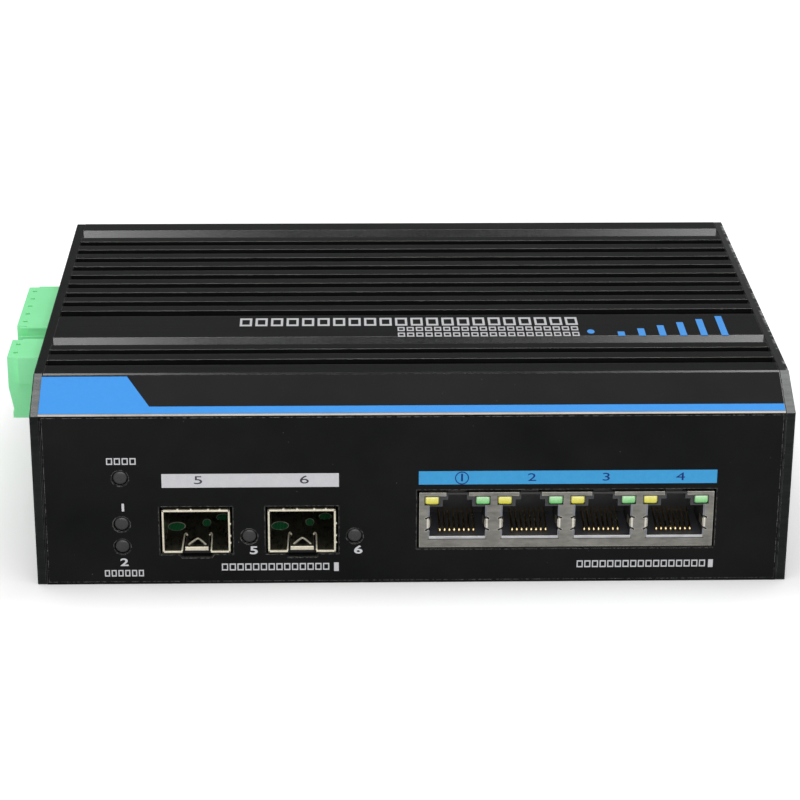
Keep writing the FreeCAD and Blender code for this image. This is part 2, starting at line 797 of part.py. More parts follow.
def board_link():
    reach = link_pin / 2
    half_x = link_body_width / 2
    half_y = link_count * link_pitch / 2
    bores = [box(link_x - reach - fit_gap, link_x + reach + fit_gap, y - reach - fit_gap, y + reach + fit_gap,
                 board_top + fit_gap, case_height) for y in link_places()]
    socket = box(link_x - half_x, link_x + half_x, link_y - half_y, link_y + half_y,
                 board_top, board_top + link_body_height)
    base = box(link_x - half_x, link_x + half_x, link_y - half_y, link_y + half_y,
               power_bottom - link_base_height, power_bottom)
    save("link_socket", cut(socket, bores))
    save("link_header", cut(base, bores))
    save("link_pins", *[box(link_x - reach, link_x + reach, y - reach, y + reach,
                            board_top + 2 * fit_gap, power_top + pad_thickness / 2) for y in link_places()])


def terminal_block(name, ways, centre):
    """Board header with its pins, and the plug that pulls off it to the left."""
    half = header_half(ways)
    head_front = -side - header_proud
    head_rear = head_front + header_depth
    low = power_bottom - header_height
    shroud = box(head_front, head_rear, centre - half, centre + half, low, power_bottom)
    hollow = box(head_front - wall, head_rear - header_back, centre - half + header_wall,
                 centre + half - header_wall, low + header_wall, power_bottom - header_wall)
    pin_centre = power_bottom - pin_z
    reach = pin_size / 2 + fit_gap / 2
    pin_holes = [box(head_rear - header_back - wall, head_rear + wall, y - reach, y + reach,
                     pin_centre - reach, pin_centre + reach) for y in way_places(ways, centre)]
    save(name + "_header", cut(shroud, [hollow] + pin_holes))
    path = [(head_front + pin_tip, pin_centre), (pin_rear(), pin_centre), (pin_rear(), power_top + pad_thickness / 2)]
    pin = prism([(a, b) for a, b in strip(path, pin_size)], "y", -pin_size / 2, pin_size / 2)
    save(name + "_header_pins", *[moved(pin, y=y) for y in way_places(ways, centre)])

    outer = -side - plug_reach
    back = -side - header_proud - plug_gap
    top = power_bottom
    body_half = ways * way_pitch / 2 + plug_end_wall
    outline = [(outer, top), (outer, top - plug_shoulder), (outer + plug_knee_x, top - plug_knee_z),
               (outer + plug_lip_x, top - plug_knee_z - socket_gap), (outer + plug_lip_x, top - plug_height),
               (back, top - plug_height), (back, top)]
    grip = prism(outline, "y", centre - body_half, centre + body_half)
    ribs = box(outer + plug_rib_start, back, centre - body_half - plug_rib, centre + body_half + plug_rib,
               top - plug_rib_height, top)
    nose = box(back - fit_gap, head_rear - header_back - plug_gap, centre - half + header_wall + socket_gap,
               centre + half - header_wall - socket_gap, low + header_wall + socket_gap,
               top - header_wall - socket_gap)
    entry_low = top - entry_top - entry_height
    screw_x = outer + clamp_inset + clamp_length / 2
    hollows = []
    clamps = []
    screws = []
    for y in way_places(ways, centre):
        hollows.append(box(outer - wall, outer + entry_depth, y - entry_width / 2, y + entry_width / 2,
                           entry_low, entry_low + entry_height))
        hollows.append(flats((screw_x, y, top - plug_height - wall), (screw_x, y, entry_low + fit_gap),
                             clamp_bore_radius))
        reach = pin_size / 2 + socket_gap
        hollows.append(box(outer + entry_depth - fit_gap, head_rear, y - reach, y + reach,
                           pin_centre - reach, pin_centre + reach))
        hollows.append(box(outer + pit_inset - pit_size / 2, outer + pit_inset + pit_size / 2,
                           y - pit_size / 2, y + pit_size / 2, top - pit_depth, top + wall))
        cage = box(screw_x - clamp_length / 2, screw_x + clamp_length / 2,
                   y - entry_width / 2 + clamp_gap, y + entry_width / 2 - clamp_gap,
                   entry_low + clamp_gap, entry_low + entry_height - clamp_gap)
        inside = box(screw_x - clamp_length, screw_x + clamp_length,
                     y - entry_width / 2 + clamp_gap + clamp_wall, y + entry_width / 2 - clamp_gap - clamp_wall,
                     entry_low + clamp_gap + clamp_wall, entry_low + entry_height - clamp_gap - clamp_wall)
        clamps.append(cage.cut(inside))
        head = flats((screw_x, y, top - plug_height + clamp_screw_recess), (screw_x, y, entry_low),
                     clamp_screw_radius)
        groove = box(screw_x - clamp_screw_radius, screw_x + clamp_screw_radius, y - clamp_gap * 2,
                     y + clamp_gap * 2, top - plug_height, top - plug_height + clamp_screw_recess + clamp_wall)
        screws.append(head.cut(groove))
    save(name + "_plug", cut(fuse(grip, ribs, nose), hollows))
    save(name + "_plug_clamps", *clamps)
    save(name + "_plug_screws", *screws)


def rail_clip():
    """Plate with a fixed hook on the right, and a sprung latch that slides in from the left."""
    back = rear + clip_sheet
    half_rail = rail_width / 2
    lip_front = back + rail_flange + rail_play
    hook_x = half_rail + hook_clearance + clip_sheet / 2
    path = [(-clip_tail, rear + clip_sheet / 2), (hook_x, rear + clip_sheet / 2),
            (hook_x, lip_front + clip_sheet / 2), (half_rail - hook_reach, lip_front + clip_sheet / 2)]
    plate = prism(strip(path, clip_sheet), "z", middle_z - clip_half_height, middle_z + clip_half_height)
    flange_top = back + latch_run + latch_flange
    guides = []
    for sign in (-1, 1):
        wall_near = middle_z + sign * (latch_flange_half + guide_gap)
        wall_far = wall_near + sign * guide_sheet
        lip_far = middle_z + sign * (latch_half + guide_gap)
        z0, z1 = sorted((wall_near, wall_far))
        guides.append(box(-guide_front, -guide_rear, back - fit_gap, flange_top + guide_gap + guide_sheet, z0, z1))
        z0, z1 = sorted((lip_far, wall_far))
        guides.append(box(-guide_front, -guide_rear, flange_top + guide_gap,
                          flange_top + guide_gap + guide_sheet, z0, z1))
    lug = box(-window_left + lug_gap, -window_left + lug_gap + lug_thickness, back - fit_gap,
              lip_front + clip_sheet, middle_z - lug_half, middle_z + lug_half)
    holes = [flat_hole((x, back, z), (0, -1, 0), clip_sheet) for x, z in clip_screw_spots]
    save("rail_plate", cut(fuse(plate, lug, *guides), holes))
    save("rail_plate_screws", *[flat_screw((x, back, z), (0, -1, 0), clip_sheet + wall) for x, z in clip_screw_spots])

    low = back + latch_run
    top = lip_front + clip_sheet
    nose = -half_rail + hook_reach
    shoulder_x = -half_rail - hook_clearance
    outline = [(-latch_tail, low), (shoulder_x, low), (shoulder_x, lip_front), (nose, lip_front),
               (nose - clip_sheet, top), (-latch_tail, top)]
    bar = prism(outline, "z", middle_z - latch_half, middle_z + latch_half)
    wings = box(-latch_tail + slot_length, shoulder_x, low, low + latch_flange,
                middle_z - latch_flange_half, middle_z + latch_flange_half)
    window = box(-window_left, -window_right, low - wall, top + wall, middle_z - window_half, middle_z + window_half)
    slot = box(-latch_tail + slot_end, -latch_tail + slot_end + slot_length, low - wall, top + wall,
               middle_z - slot_half, middle_z + slot_half)
    save("rail_latch", cut(fuse(bar, wings), [window, slot]))

    start = -window_left + lug_gap + lug_thickness + fit_gap + spring_wire
    end = -window_right - fit_gap - spring_wire
    save("latch_spring", coil(start, end, low + spring_radius + spring_wire + fit_gap, middle_z))


def coil(start, end, centre_y, centre_z):
    """Coil spring along X, from square wire in short straight runs."""
    steps = spring_turns * turn_flats
    rings = []
    for k in range(steps + 1):
        angle = 2 * math.pi * k / turn_flats
        x = start + (end - start) * k / steps
        corners = [(x - spring_wire, spring_radius - spring_wire), (x + spring_wire, spring_radius - spring_wire),
                   (x + spring_wire, spring_radius + spring_wire), (x - spring_wire, spring_radius + spring_wire)]
        rings.append([FreeCAD.Vector(a, centre_y + r * math.cos(angle), centre_z + r * math.sin(angle))
                      for a, r in corners])
    faces = [rings[0], rings[-1][::-1]]
    for low, high in zip(rings, rings[1:]):
        for k in range(len(low)):
            faces.append([low[k], low[k - 1], high[k - 1]])
            faces.append([low[k], high[k - 1], high[k]])
    return polyhedron(faces)


os.makedirs("parts", exist_ok=True)
finned_profile()
base_plate()
end_plates()
films()
main_board()
copper_jack()
fibre_cages()
status_lamps()
main_board_parts()
power_board()
power_board_parts()
board_link()
for terminal, (terminal_ways, terminal_centre) in terminals.items():
    terminal_block(terminal, terminal_ways, terminal_centre)
rail_clip()
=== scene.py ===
import json
import math

import bmesh
import bpy
from mathutils import Matrix, Vector


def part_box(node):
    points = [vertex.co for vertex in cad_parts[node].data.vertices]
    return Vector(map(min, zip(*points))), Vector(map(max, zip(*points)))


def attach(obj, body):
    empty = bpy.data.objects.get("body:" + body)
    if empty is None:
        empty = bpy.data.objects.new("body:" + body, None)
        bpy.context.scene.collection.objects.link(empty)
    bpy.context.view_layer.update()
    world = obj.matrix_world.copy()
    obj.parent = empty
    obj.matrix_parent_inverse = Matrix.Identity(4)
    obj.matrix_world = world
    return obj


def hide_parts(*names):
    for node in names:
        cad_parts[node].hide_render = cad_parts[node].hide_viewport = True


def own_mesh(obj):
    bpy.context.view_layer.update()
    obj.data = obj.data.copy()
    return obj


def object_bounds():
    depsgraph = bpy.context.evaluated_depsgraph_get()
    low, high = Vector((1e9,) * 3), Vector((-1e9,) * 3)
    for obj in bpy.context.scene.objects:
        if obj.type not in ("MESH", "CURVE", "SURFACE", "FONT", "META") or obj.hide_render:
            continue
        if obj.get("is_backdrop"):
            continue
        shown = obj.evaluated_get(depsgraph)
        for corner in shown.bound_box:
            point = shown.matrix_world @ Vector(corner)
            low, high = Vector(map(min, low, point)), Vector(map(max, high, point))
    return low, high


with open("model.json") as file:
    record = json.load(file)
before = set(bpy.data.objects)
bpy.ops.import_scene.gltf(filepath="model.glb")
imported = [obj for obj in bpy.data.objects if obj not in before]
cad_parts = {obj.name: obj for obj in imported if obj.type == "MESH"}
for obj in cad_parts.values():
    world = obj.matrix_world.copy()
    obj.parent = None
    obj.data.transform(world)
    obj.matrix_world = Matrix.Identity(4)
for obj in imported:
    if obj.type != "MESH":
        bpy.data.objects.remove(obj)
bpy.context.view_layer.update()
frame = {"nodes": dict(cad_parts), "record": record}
nodes = frame["nodes"]
mm = 0.001
scene = bpy.context.scene
print("frame loaded,", len(nodes), "nodes")


def tint(colour):  # red, green and blue from 0 to 255, as the shaders want them
    parts = [value / 255 for value in colour]
    return tuple(p / 12.92 if p <= 0.04045 else ((p + 0.055) / 1.055) ** 2.4 for p in parts)


class Wire:  # an output socket; arithmetic on it adds Math nodes
    def __init__(self, graph, socket):
        self.graph = graph
        self.socket = socket

    def maths(self, operation, *terms):
        return self.graph.node("ShaderNodeMath", {"operation": operation}, dict(enumerate(terms)))

    def __add__(self, other):
        return self.maths("ADD", self, other)

    def __sub__(self, other):
        return self.maths("SUBTRACT", self, other)

    def __rsub__(self, other):
        return self.maths("SUBTRACT", other, self)

    def __mul__(self, other):
        return self.maths("MULTIPLY", self, other)

    def __abs__(self):
        return self.maths("ABSOLUTE", self)


class Graph:  # a node tree and the few patterns that the finishes are made of
    def __init__(self, tree):
        self.tree = tree

    def feed(self, socket, value):
        if isinstance(value, Wire):
            self.tree.links.new(value.socket, socket)
        elif socket.type == "RGBA" and len(value) == 3:
            socket.default_value = (*value, 1)
        else:
            socket.default_value = value

    def node(self, kind, settings=None, inputs=None, output=0):
        made = self.tree.nodes.new(kind)
        for key, value in (settings or {}).items():
            setattr(made, key, value)
        for key, value in (inputs or {}).items():
            self.feed(made.inputs[key], value)
        return Wire(self, made.outputs[output])

    def place(self, stretch=(1, 1, 1)):
        here = self.node("ShaderNodeTexCoord", output="Object")
        return self.node("ShaderNodeMapping", {}, {"Vector": here, "Scale": stretch})

    def axis(self, name):
        return self.node("ShaderNodeSeparateXYZ", {}, {0: self.place()}, output=name)

    def noise(self, scale, detail=3, stretch=(1, 1, 1)):
        values = {"Vector": self.place(stretch), "Scale": scale, "Detail": detail, "Roughness": 0.6}
        return self.node("ShaderNodeTexNoise", {}, values)

    def cells(self, scale):
        values = {"Vector": self.place(), "Scale": scale}
        return self.node("ShaderNodeTexVoronoi", {}, values, "Distance")

    def spread(self, value, low, high, first=0, last=1):
        ends = {"From Min": low, "From Max": high, "To Min": first, "To Max": last}
        return self.node("ShaderNodeMapRange", {"clamp": True}, {"Value": value, **ends})

    def mix(self, mask, first, second):
        return self.node("ShaderNodeMix", {"data_type": "RGBA"}, {0: mask, 6: first, 7: second}, output=2)

    def edges(self, reach):  # 0 on flat faces, rising within reach of an edge
        soft = self.node("ShaderNodeBevel", {"samples": 6}, {"Radius": reach})
        flat = self.node("ShaderNodeNewGeometry", output="Normal")
        along = self.node("ShaderNodeVectorMath", {"operation": "DOT_PRODUCT"}, {0: soft, 1: flat}, output="Value")
        return 1 - along

    def bump(self, height, depth, strength):
        values = {"Height": height, "Distance": depth, "Strength": strength}
        return self.node("ShaderNodeBump", {}, values)


class Finish(Graph):  # one material; it belongs to the record's slot of its own name, unless told another
    def __init__(self, name, slot=None, **constants):
        self.slot = slot or "".join("_" + letter.lower() if letter.isupper() else letter for letter in name)
        self.material = bpy.data.materials.new(name)
        self.material.use_nodes = True
        super().__init__(self.material.node_tree)
        self.shader = self.tree.nodes["Principled BSDF"]
        self.wear(**constants)

    def wear(self, **channels):  # values or patterns for the shader, an underscore standing for a space
        for key, value in channels.items():
            self.feed(self.shader.inputs[key.replace("_", " ")], value)
        return self


# anodised aluminium: the flats are matt, the slopes and rounded edges have a satin sheen; the fins' rounded front
# edges are painted near white as a highlight
anodisedLooks = {
    "caseBlack": {"tone": (24, 25, 25), "dull": (18, 19, 19), "bare": (130, 130, 126), "wear": 0.25,
        "gloss": 0.011, "rough": (0.36, 0.5), "grain": 0.5},
    "rimBlack": {"tone": (30, 31, 31), "dull": (22, 23, 23), "bare": (90, 90, 88), "wear": 0.15,
        "gloss": 0.011, "rough": (0.36, 0.5), "grain": 0.3},
    "slopeBlack": {"tone": (34, 35, 36), "dull": (28, 29, 30), "bare": (150, 149, 146), "wear": 0.25,
        "gloss": 1.0, "rough": (0.17, 0.24), "grain": 0.06},
    # painted highlight: near-white colour on the fins' rounded front edges
    "finEdge": {"tone": (252, 250, 246), "dull": (214, 212, 207), "bare": (255, 253, 248), "wear": 0.5,
        "gloss": 0.9, "rough": (0.2, 0.3), "grain": 0.1},
    "coverBlack": {"tone": (36, 38, 37), "dull": (26, 28, 28), "bare": (176, 178, 174), "wear": 0.5,
        "gloss": 0.3, "rough": (0.36, 0.5), "grain": 0.5},
    # painted shade: the end plates' front faces are darker than their sides; the pale edges are wear
    "coverEdge": {"tone": (30, 33, 32), "dull": (17, 19, 19), "bare": (170, 178, 172), "wear": 0.6,
        "gloss": 0.1, "rough": (0.3, 0.45), "grain": 0.4},
    # painted sheen: the end plates' sloping faces are a light grey copy of their black
    "coverSlope": {"tone": (112, 116, 114), "dull": (72, 74, 74), "bare": (200, 204, 200), "wear": 1.0,
        "gloss": 0.5, "rough": (0.24, 0.38), "grain": 0.4},
    "rubbedRim": {"tone": (26, 27, 27), "dull": (20, 21, 21), "bare": (150, 154, 150), "wear": 1.0,
        "gloss": 0.03, "rough": (0.3, 0.42), "grain": 0.4, "rubbed": (0.0782, 0.0787)},
    "bareEdge": {"tone": (208, 201, 192), "dull": (172, 165, 157), "bare": (240, 234, 224), "wear": 0.6,
        "gloss": 0.5, "rough": (0.3, 0.42), "grain": 0.4},
}


def anodised(name, look):
    skin = Finish(name, "case_black", Specular_IOR_Level=look["gloss"])
    drift = skin.noise(60, 4)
    fine = skin.noise(2600, 4)
    drawn = skin.noise(1100, 4, stretch=(0.04, 1, 1))
    scuffed = skin.noise(700, 5, stretch=(0.3, 1, 1))
    worn = skin.spread(skin.edges(0.0004) * skin.spread(scuffed, 0.3, 0.55), 0.02, 0.16) * look["wear"]
    if "rubbed" in look:
        worn = skin.spread(scuffed, 0.5, 0.6) * skin.spread(skin.axis("X"), *look["rubbed"])
    dust = skin.spread(skin.cells(700), 0.055, 0.03) * skin.spread(skin.noise(210, 2), 0.56, 0.66)
    body = skin.mix(skin.spread(drift * 0.5 + drawn * 0.5, 0.38, 0.62), tint(look["dull"]), tint(look["tone"]))
    body = skin.mix(worn, body, tint(look["bare"]))
    body = skin.mix(dust * look["wear"] * 0.6, body, tint(look["bare"]))
    low, high = look["rough"]
    return skin.wear(Base_Color=body, Roughness=skin.spread(fine + drift * 0.5, 0.55, 0.95, low, high),
                     Normal=skin.bump(fine, 0.00002, look["grain"]))


# printed films: the front one is matt black, the one on the shoulder is a little paler
filmLooks = {
    "frontFilm": {"tone": (25, 25, 26), "dull": (12, 13, 13), "cut": (176, 176, 172), "rim": 0.45, "gloss": 0.06},
    "shoulderFilm": {"tone": (40, 40, 41), "dull": (34, 34, 35), "cut": (150, 146, 142), "rim": 0.6, "gloss": 0.03},
}


def filmFinish(name, look):
    film = Finish(name, Specular_IOR_Level=look["gloss"])
    fine = film.noise(5200, 3)
    drift = film.noise(40, 3)
    chips = film.spread(film.noise(1300, 4), 0.42, 0.6)
    rim = film.spread(film.edges(0.0003), 0.02, 0.18) * chips * look["rim"]
    dust = film.spread(film.cells(620), 0.06, 0.03) * film.spread(film.noise(160, 2), 0.54, 0.62) * 0.35
    body = film.mix(film.spread(drift + fine * 0.35, 0.45, 0.9), tint(look["dull"]), tint(look["tone"]))
    body = film.mix(rim, body, tint(look["cut"]))
    return film.wear(Base_Color=film.mix(dust, body, tint(look["cut"])), Normal=film.bump(fine, 0.00001, 0.6),
                     Roughness=film.spread(fine, 0.3, 0.7, 0.5, 0.62))


inkLooks = {
    "whiteInk": {"slot": "front_film", "tone": (204, 204, 207), "dull": (193, 193, 197)},
    "barBlue": {"slot": "front_film", "tone": (68, 160, 216), "dull": (60, 150, 206)},
    "fieldBlue": {"slot": "shoulder_film", "tone": (71, 156, 237), "dull": (66, 150, 231)},
    "darkInk": {"slot": "front_film", "tone": (66, 66, 72), "dull": (50, 50, 58)},
    "navyInk": {"slot": "front_film", "tone": (30, 54, 124), "dull": (22, 44, 104)},
}


def ink(name, look):  # screen printed ink: a little mottled
    paint = Finish(name, look.get("slot"), Specular_IOR_Level=0.12)
    mottle = paint.noise(900, 4) * 0.6 + paint.noise(4000, 2) * 0.4
    return paint.wear(Base_Color=paint.mix(paint.spread(mottle, 0.3, 0.7), tint(look["dull"]), tint(look["tone"])),
                      Roughness=paint.spread(mottle, 0.3, 0.7, 0.42, 0.55),
                      Normal=paint.bump(mottle, 0.000008, 0.5))


# bare and plated metal: brushed stretches its fine lines, bright is how strongly a pale highlight is painted along
# its edges
metalLooks = {
    "screwSteel": {"tone": (120, 120, 118), "dull": (92, 92, 92), "rough": 0.34, "bright": 0.2},
    "brassNickel": {"tone": (190, 182, 160), "dull": (160, 152, 130),
        "rough": 0.3, "brushed": (1, 1, 0.2), "bright": 0.2},
    "shieldSteel": {"tone": (146, 144, 137), "dull": (116, 114, 108),
        "rough": 0.42, "brushed": (0.25, 1, 1), "bright": 0.6},
    # painted highlight: the lips are a paler copy of the shield steel
    "shieldLip": {"slot": "shield_steel", "tone": (196, 197, 200), "dull": (170, 172, 176),
        "rough": 0.34, "brushed": (0.25, 1, 1), "bright": 0.4, "metal": 0.6},
    "shieldReturn": {"slot": "shield_steel", "tone": (122, 125, 132), "dull": (102, 105, 112),
                     "rough": 0.4, "brushed": (1, 1, 0.3), "bright": 0.2, "metal": 0.5},
    # painted highlight: the spring leaves are a near-white copy of the shield steel
    "shieldBright": {"slot": "shield_steel", "tone": (228, 224, 212), "dull": (206, 202, 192),
                     "rough": 0.3, "brushed": (0.25, 1, 1), "bright": 0.5},
    "goldContact": {"tone": (255, 236, 184), "dull": (238, 206, 140),
        "rough": 0.2, "brushed": (1, 0.3, 0.3), "bright": 0.2},
    "cageMetal": {"tone": (124, 122, 106), "dull": (74, 73, 60),
        "rough": 0.3, "brushed": (1, 0.25, 1), "bright": 0.8, "metal": 0.8, "specks": 0.7},
    # painted highlight: the cage's rims and tabs are a pale copy of its metal
    "cageRim": {"slot": "cage_metal", "tone": (232, 226, 204), "dull": (200, 192, 170),
        "rough": 0.4, "bright": 0.3, "metal": 0.5},
    # painted highlights: white wires and rings on the cage floor where light glints
    "cageGlint": {"slot": "cage_metal", "tone": (255, 250, 228), "dull": (236, 228, 200),
        "rough": 0.4, "bright": 0.3, "metal": 0.0},
    "sinkAluminium": {"tone": (196, 198, 200), "dull": (168, 170, 173),
                      "rough": 0.34, "brushed": (1, 0.15, 1), "bright": 0.3},
    "canMetal": {"tone": (188, 190, 192), "dull": (150, 152, 155),
        "rough": 0.3, "brushed": (1, 1, 0.2), "bright": 0.3},
    "tinnedBrass": {"tone": (206, 202, 192), "dull": (176, 172, 160),
        "rough": 0.3, "brushed": (0.25, 1, 1), "bright": 0.3},
    "clampScrew": {"tone": (186, 186, 184), "dull": (150, 150, 150),
        "rough": 0.32, "brushed": (1, 1, 0.3), "bright": 0.3},
    "clipSteel": {"tone": (168, 171, 174), "dull": (138, 142, 148),
        "rough": 0.36, "brushed": (0.2, 1, 1), "bright": 0.5},
    "springSteel": {"tone": (176, 178, 182), "dull": (120, 122, 128), "rough": 0.26, "bright": 0.3},
}


def sheetMetal(name, look):
    steel = Finish(name, look.get("slot"), Metallic=look.get("metal", 1.0))
    lines = steel.noise(1800, 4, look.get("brushed", (1, 1, 1)))
    blotch = steel.noise(260, 3)
    # painted highlight: edges blended towards a pale colour
    rim = steel.spread(steel.edges(0.00025), 0.02, 0.15) * look["bright"]
    body = steel.mix(steel.spread(lines * 0.6 + blotch * 0.4, 0.35, 0.65), tint(look["dull"]), tint(look["tone"]))
    body = steel.mix(rim, body, tint((240, 236, 224)))
    if "specks" in look:
        spots = steel.spread(steel.cells(1300), 0.12, 0.06) * steel.spread(steel.noise(330, 2), 0.44, 0.56)
        body = steel.mix(spots * look["specks"], body, tint((226, 220, 200)))
    low, high = look["rough"] - 0.07, look["rough"] + 0.09
    return steel.wear(Base_Color=body, Roughness=steel.spread(lines + blotch * 0.5, 0.5, 1, low, high),
                      Normal=steel.bump(lines, 0.00001, 0.6))


mouldedLooks = {
    "jackPlastic": {"tone": (58, 59, 61), "dull": (42, 43, 45), "rough": 0.48, "grain": 3000, "rim": (88, 88, 90)},
    # painted light: the cavity floor is a paler copy of the jack plastic
    "jackFloor": {"slot": "jack_plastic", "tone": (104, 106, 112), "dull": (80, 82, 88), "rough": 0.4, "grain": 2200},
    "jackShade": {"slot": "jack_plastic", "tone": (40, 40, 42), "dull": (28, 28, 30), "rough": 0.5, "grain": 3000},
    "lampSmoke": {"tone": (46, 45, 47), "dull": (34, 34, 35),
        "rough": 0.3, "grain": 900, "rim": (100, 100, 100), "gloss": 0.3, "coat": 0.3},
    "chipPlastic": {"tone": (32, 32, 34), "dull": (24, 24, 26), "rough": 0.55, "grain": 1800},
    "padGrey": {"tone": (128, 132, 138), "dull": (112, 116, 122), "rough": 0.7, "grain": 900},
    "ferrite": {"tone": (52, 50, 50), "dull": (36, 35, 36), "rough": 0.6, "grain": 1600, "rim": (90, 88, 86)},
    "windingTape": {"tone": (206, 170, 60), "dull": (184, 146, 44), "rough": 0.35, "grain": 500},
    "relayPlastic": {"tone": (214, 208, 190), "dull": (198, 190, 172), "rough": 0.4, "grain": 1500},
    "terminalGreen": {"tone": (142, 250, 176), "dull": (133, 244, 166),
                      "rough": 0.42, "grain": 1500, "rim": (176, 251, 198), "gloss": 0.25},
    # painted light: front faces get a paler copy of the terminal green
    "terminalFront": {"slot": "terminal_green", "tone": (156, 255, 188), "dull": (148, 250, 178),
                      "rough": 0.42, "grain": 1500, "rim": (190, 255, 208), "gloss": 0.25},
    "latchBlack": {"tone": (34, 34, 36), "dull": (24, 24, 26), "rough": 0.5, "grain": 1500, "rim": (74, 74, 76)},
}


def moulded(name, look):
    plastic = Finish(name, look.get("slot"))
    if "gloss" in look:
        plastic.wear(Specular_IOR_Level=look["gloss"])
    if "coat" in look:
        plastic.wear(Coat_Weight=look["coat"], Coat_Roughness=0.15)
    fine = plastic.noise(look["grain"], 3)
    cloud = plastic.spread(plastic.noise(150, 3) + fine * 0.4, 0.45, 0.95)
    body = plastic.mix(cloud, tint(look["dull"]), tint(look["tone"]))
    # painted highlight: edges blended towards the paler rim colour
    if "rim" in look:
        body = plastic.mix(plastic.spread(plastic.edges(0.0003), 0.02, 0.2) * 0.6, body, tint(look["rim"]))
    low, high = look["rough"] - 0.06, look["rough"] + 0.08
    return plastic.wear(Base_Color=body, Roughness=plastic.spread(fine, 0.3, 0.7, low, high),
                        Normal=plastic.bump(fine, 0.00002, 0.5))


boardLooks = {
    "boardGreen": {"solder": (14, 66, 34), "trace": (30, 104, 56)},
    "glimpseGreen": {"solder": (40, 134, 80), "trace": (60, 164, 104)},
}


def boardFinish(name, look):
    board = Finish(name, "board_green", Coat_Weight=0.4, Coat_Roughness=0.2)
    waves = {"Vector": board.place(), "Scale": 260, "Distortion": 6, "Detail": 1, "Detail Scale": 0.4}
    across = abs(board.node("ShaderNodeTexWave", {"bands_direction": "X"}, waves) - 0.5)
    traces = board.spread(across, 0.2, 0.14)
    pads = board.spread(board.cells(420), 0.13, 0.1) * board.spread(board.noise(120, 2), 0.5, 0.55)
    body = board.mix(traces, tint(look["solder"]), tint(look["trace"]))
    body = board.mix(pads, body, tint((196, 190, 170)))
    return board.wear(Base_Color=body, Roughness=board.spread(board.noise(900, 3), 0.3, 0.7, 0.32, 0.48),
                      Normal=board.bump(traces, 0.00003, 0.6))


lensLooks = {
    "lampYellow": {"tone": (246, 242, 150), "dull": (210, 202, 12)},
    "lampGreen": {"tone": (196, 238, 190), "dull": (92, 190, 96)},
}
lensHighlightBand = (0.0186, 0.0204)  # the heights between which a lens is painted paler, a highlight on its top


def lensFinish(name, look):  # milky lens, deeper in colour at its rim, and painted paler towards its top as a highlight
    lens = Finish(name, Coat_Weight=0.6, Coat_Roughness=0.12, Subsurface_Weight=0.25,
                  Subsurface_Radius=(0.6, 0.6, 0.3), Subsurface_Scale=0.0008)
    cloud = lens.noise(700, 3)
    topHighlight = lens.spread(lens.axis("Z") + cloud * 0.0008, *lensHighlightBand)
    rim = lens.spread(lens.edges(0.0005), 0.02, 0.3)
    body = lens.mix(topHighlight, tint(look["dull"]), tint(look["tone"]))
    return lens.wear(Base_Color=lens.mix(rim * 0.4, body, tint(look["dull"])), Normal=lens.bump(cloud, 0.00003, 0.4),
                     Roughness=lens.spread(cloud, 0.3, 0.7, 0.22, 0.34))


finishes = {}
for maker, looks in ((anodised, anodisedLooks), (filmFinish, filmLooks), (ink, inkLooks),
                     (sheetMetal, metalLooks), (moulded, mouldedLooks), (boardFinish, boardLooks),
                     (lensFinish, lensLooks)):
    finishes.update({name: maker(name, look) for name, look in looks.items()})
finishOfSlot = {}  # a slot's first finish is the one for its plain faces
for finish in finishes.values():
    finishOfSlot.setdefault(finish.slot, finish)

for entry in frame["record"]["subparts"]:
    slots = nodes[entry["node"]].data.materials
    slots.clear()
    slots.append(finishOfSlot[entry["material_slot"]].material)
print("finishes made:", len(finishes))


tiny = 0.0000002  # an edge shorter than this, in metres, is taken away
welded = 0.000001  # vertices nearer than this, in metres, are one


def meshed(bm, name):  # a bmesh as mesh data
    mesh = bpy.data.meshes.new(name)
    bm.to_mesh(mesh)
    bm.free()
    return mesh


def linked(name, data):  # an object in the scene
    made = bpy.data.objects.new(name, data)
    scene.collection.objects.link(made)
    return made


def keep(bm, name, finish, body="case", replaced=(), smooth=False, others=()):
    # others holds pairs of a finish and a test on a face's normal and centre
    bmesh.ops.dissolve_degenerate(bm, dist=tiny, edges=bm.edges)
    mesh = meshed(bm, name)
    for worn in (finish, *[other for other, test in others]):
        mesh.materials.append(worn.material)
    for face in mesh.polygons:
        face.use_smooth = smooth
        for number, (other, test) in enumerate(others, 1):
            if test(face.normal, face.center / mm):
                face.material_index = number
    piece = linked(name, mesh)
    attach(piece, body)
    if replaced:
        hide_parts(*replaced)
    return piece


def join(bm, part):  # adds one bmesh to another
    mesh = meshed(part, "part")
    bm.from_mesh(mesh)
    bpy.data.meshes.remove(mesh)


def rounded(bm, edges, width, segments=2):
    bmesh.ops.bevel(bm, geom=edges, offset=width * mm, offset_type="OFFSET", segments=segments, profile=0.5,
                    affect="EDGES", clamp_overlap=True, material=-1)


def merged(node):  # a copy of a CAD node as one clean bmesh
    bm = bmesh.new()
    bm.from_mesh(nodes[node].data)
    bmesh.ops.remove_doubles(bm, verts=bm.verts, dist=welded)
    bmesh.ops.dissolve_limit(bm, angle_limit=math.radians(0.4), verts=bm.verts, edges=bm.edges)
    return bm


def crisp(bm, sharpest=30):
    return [edge for edge in bm.edges if edge.is_manifold and edge.calc_face_angle() > math.radians(sharpest)]


def easedCopy(node, name, finish, width, body="case", others=()):
    bm = merged(node)
    rounded(bm, crisp(bm), width)
    return keep(bm, name, finish, body, [node], others=others)


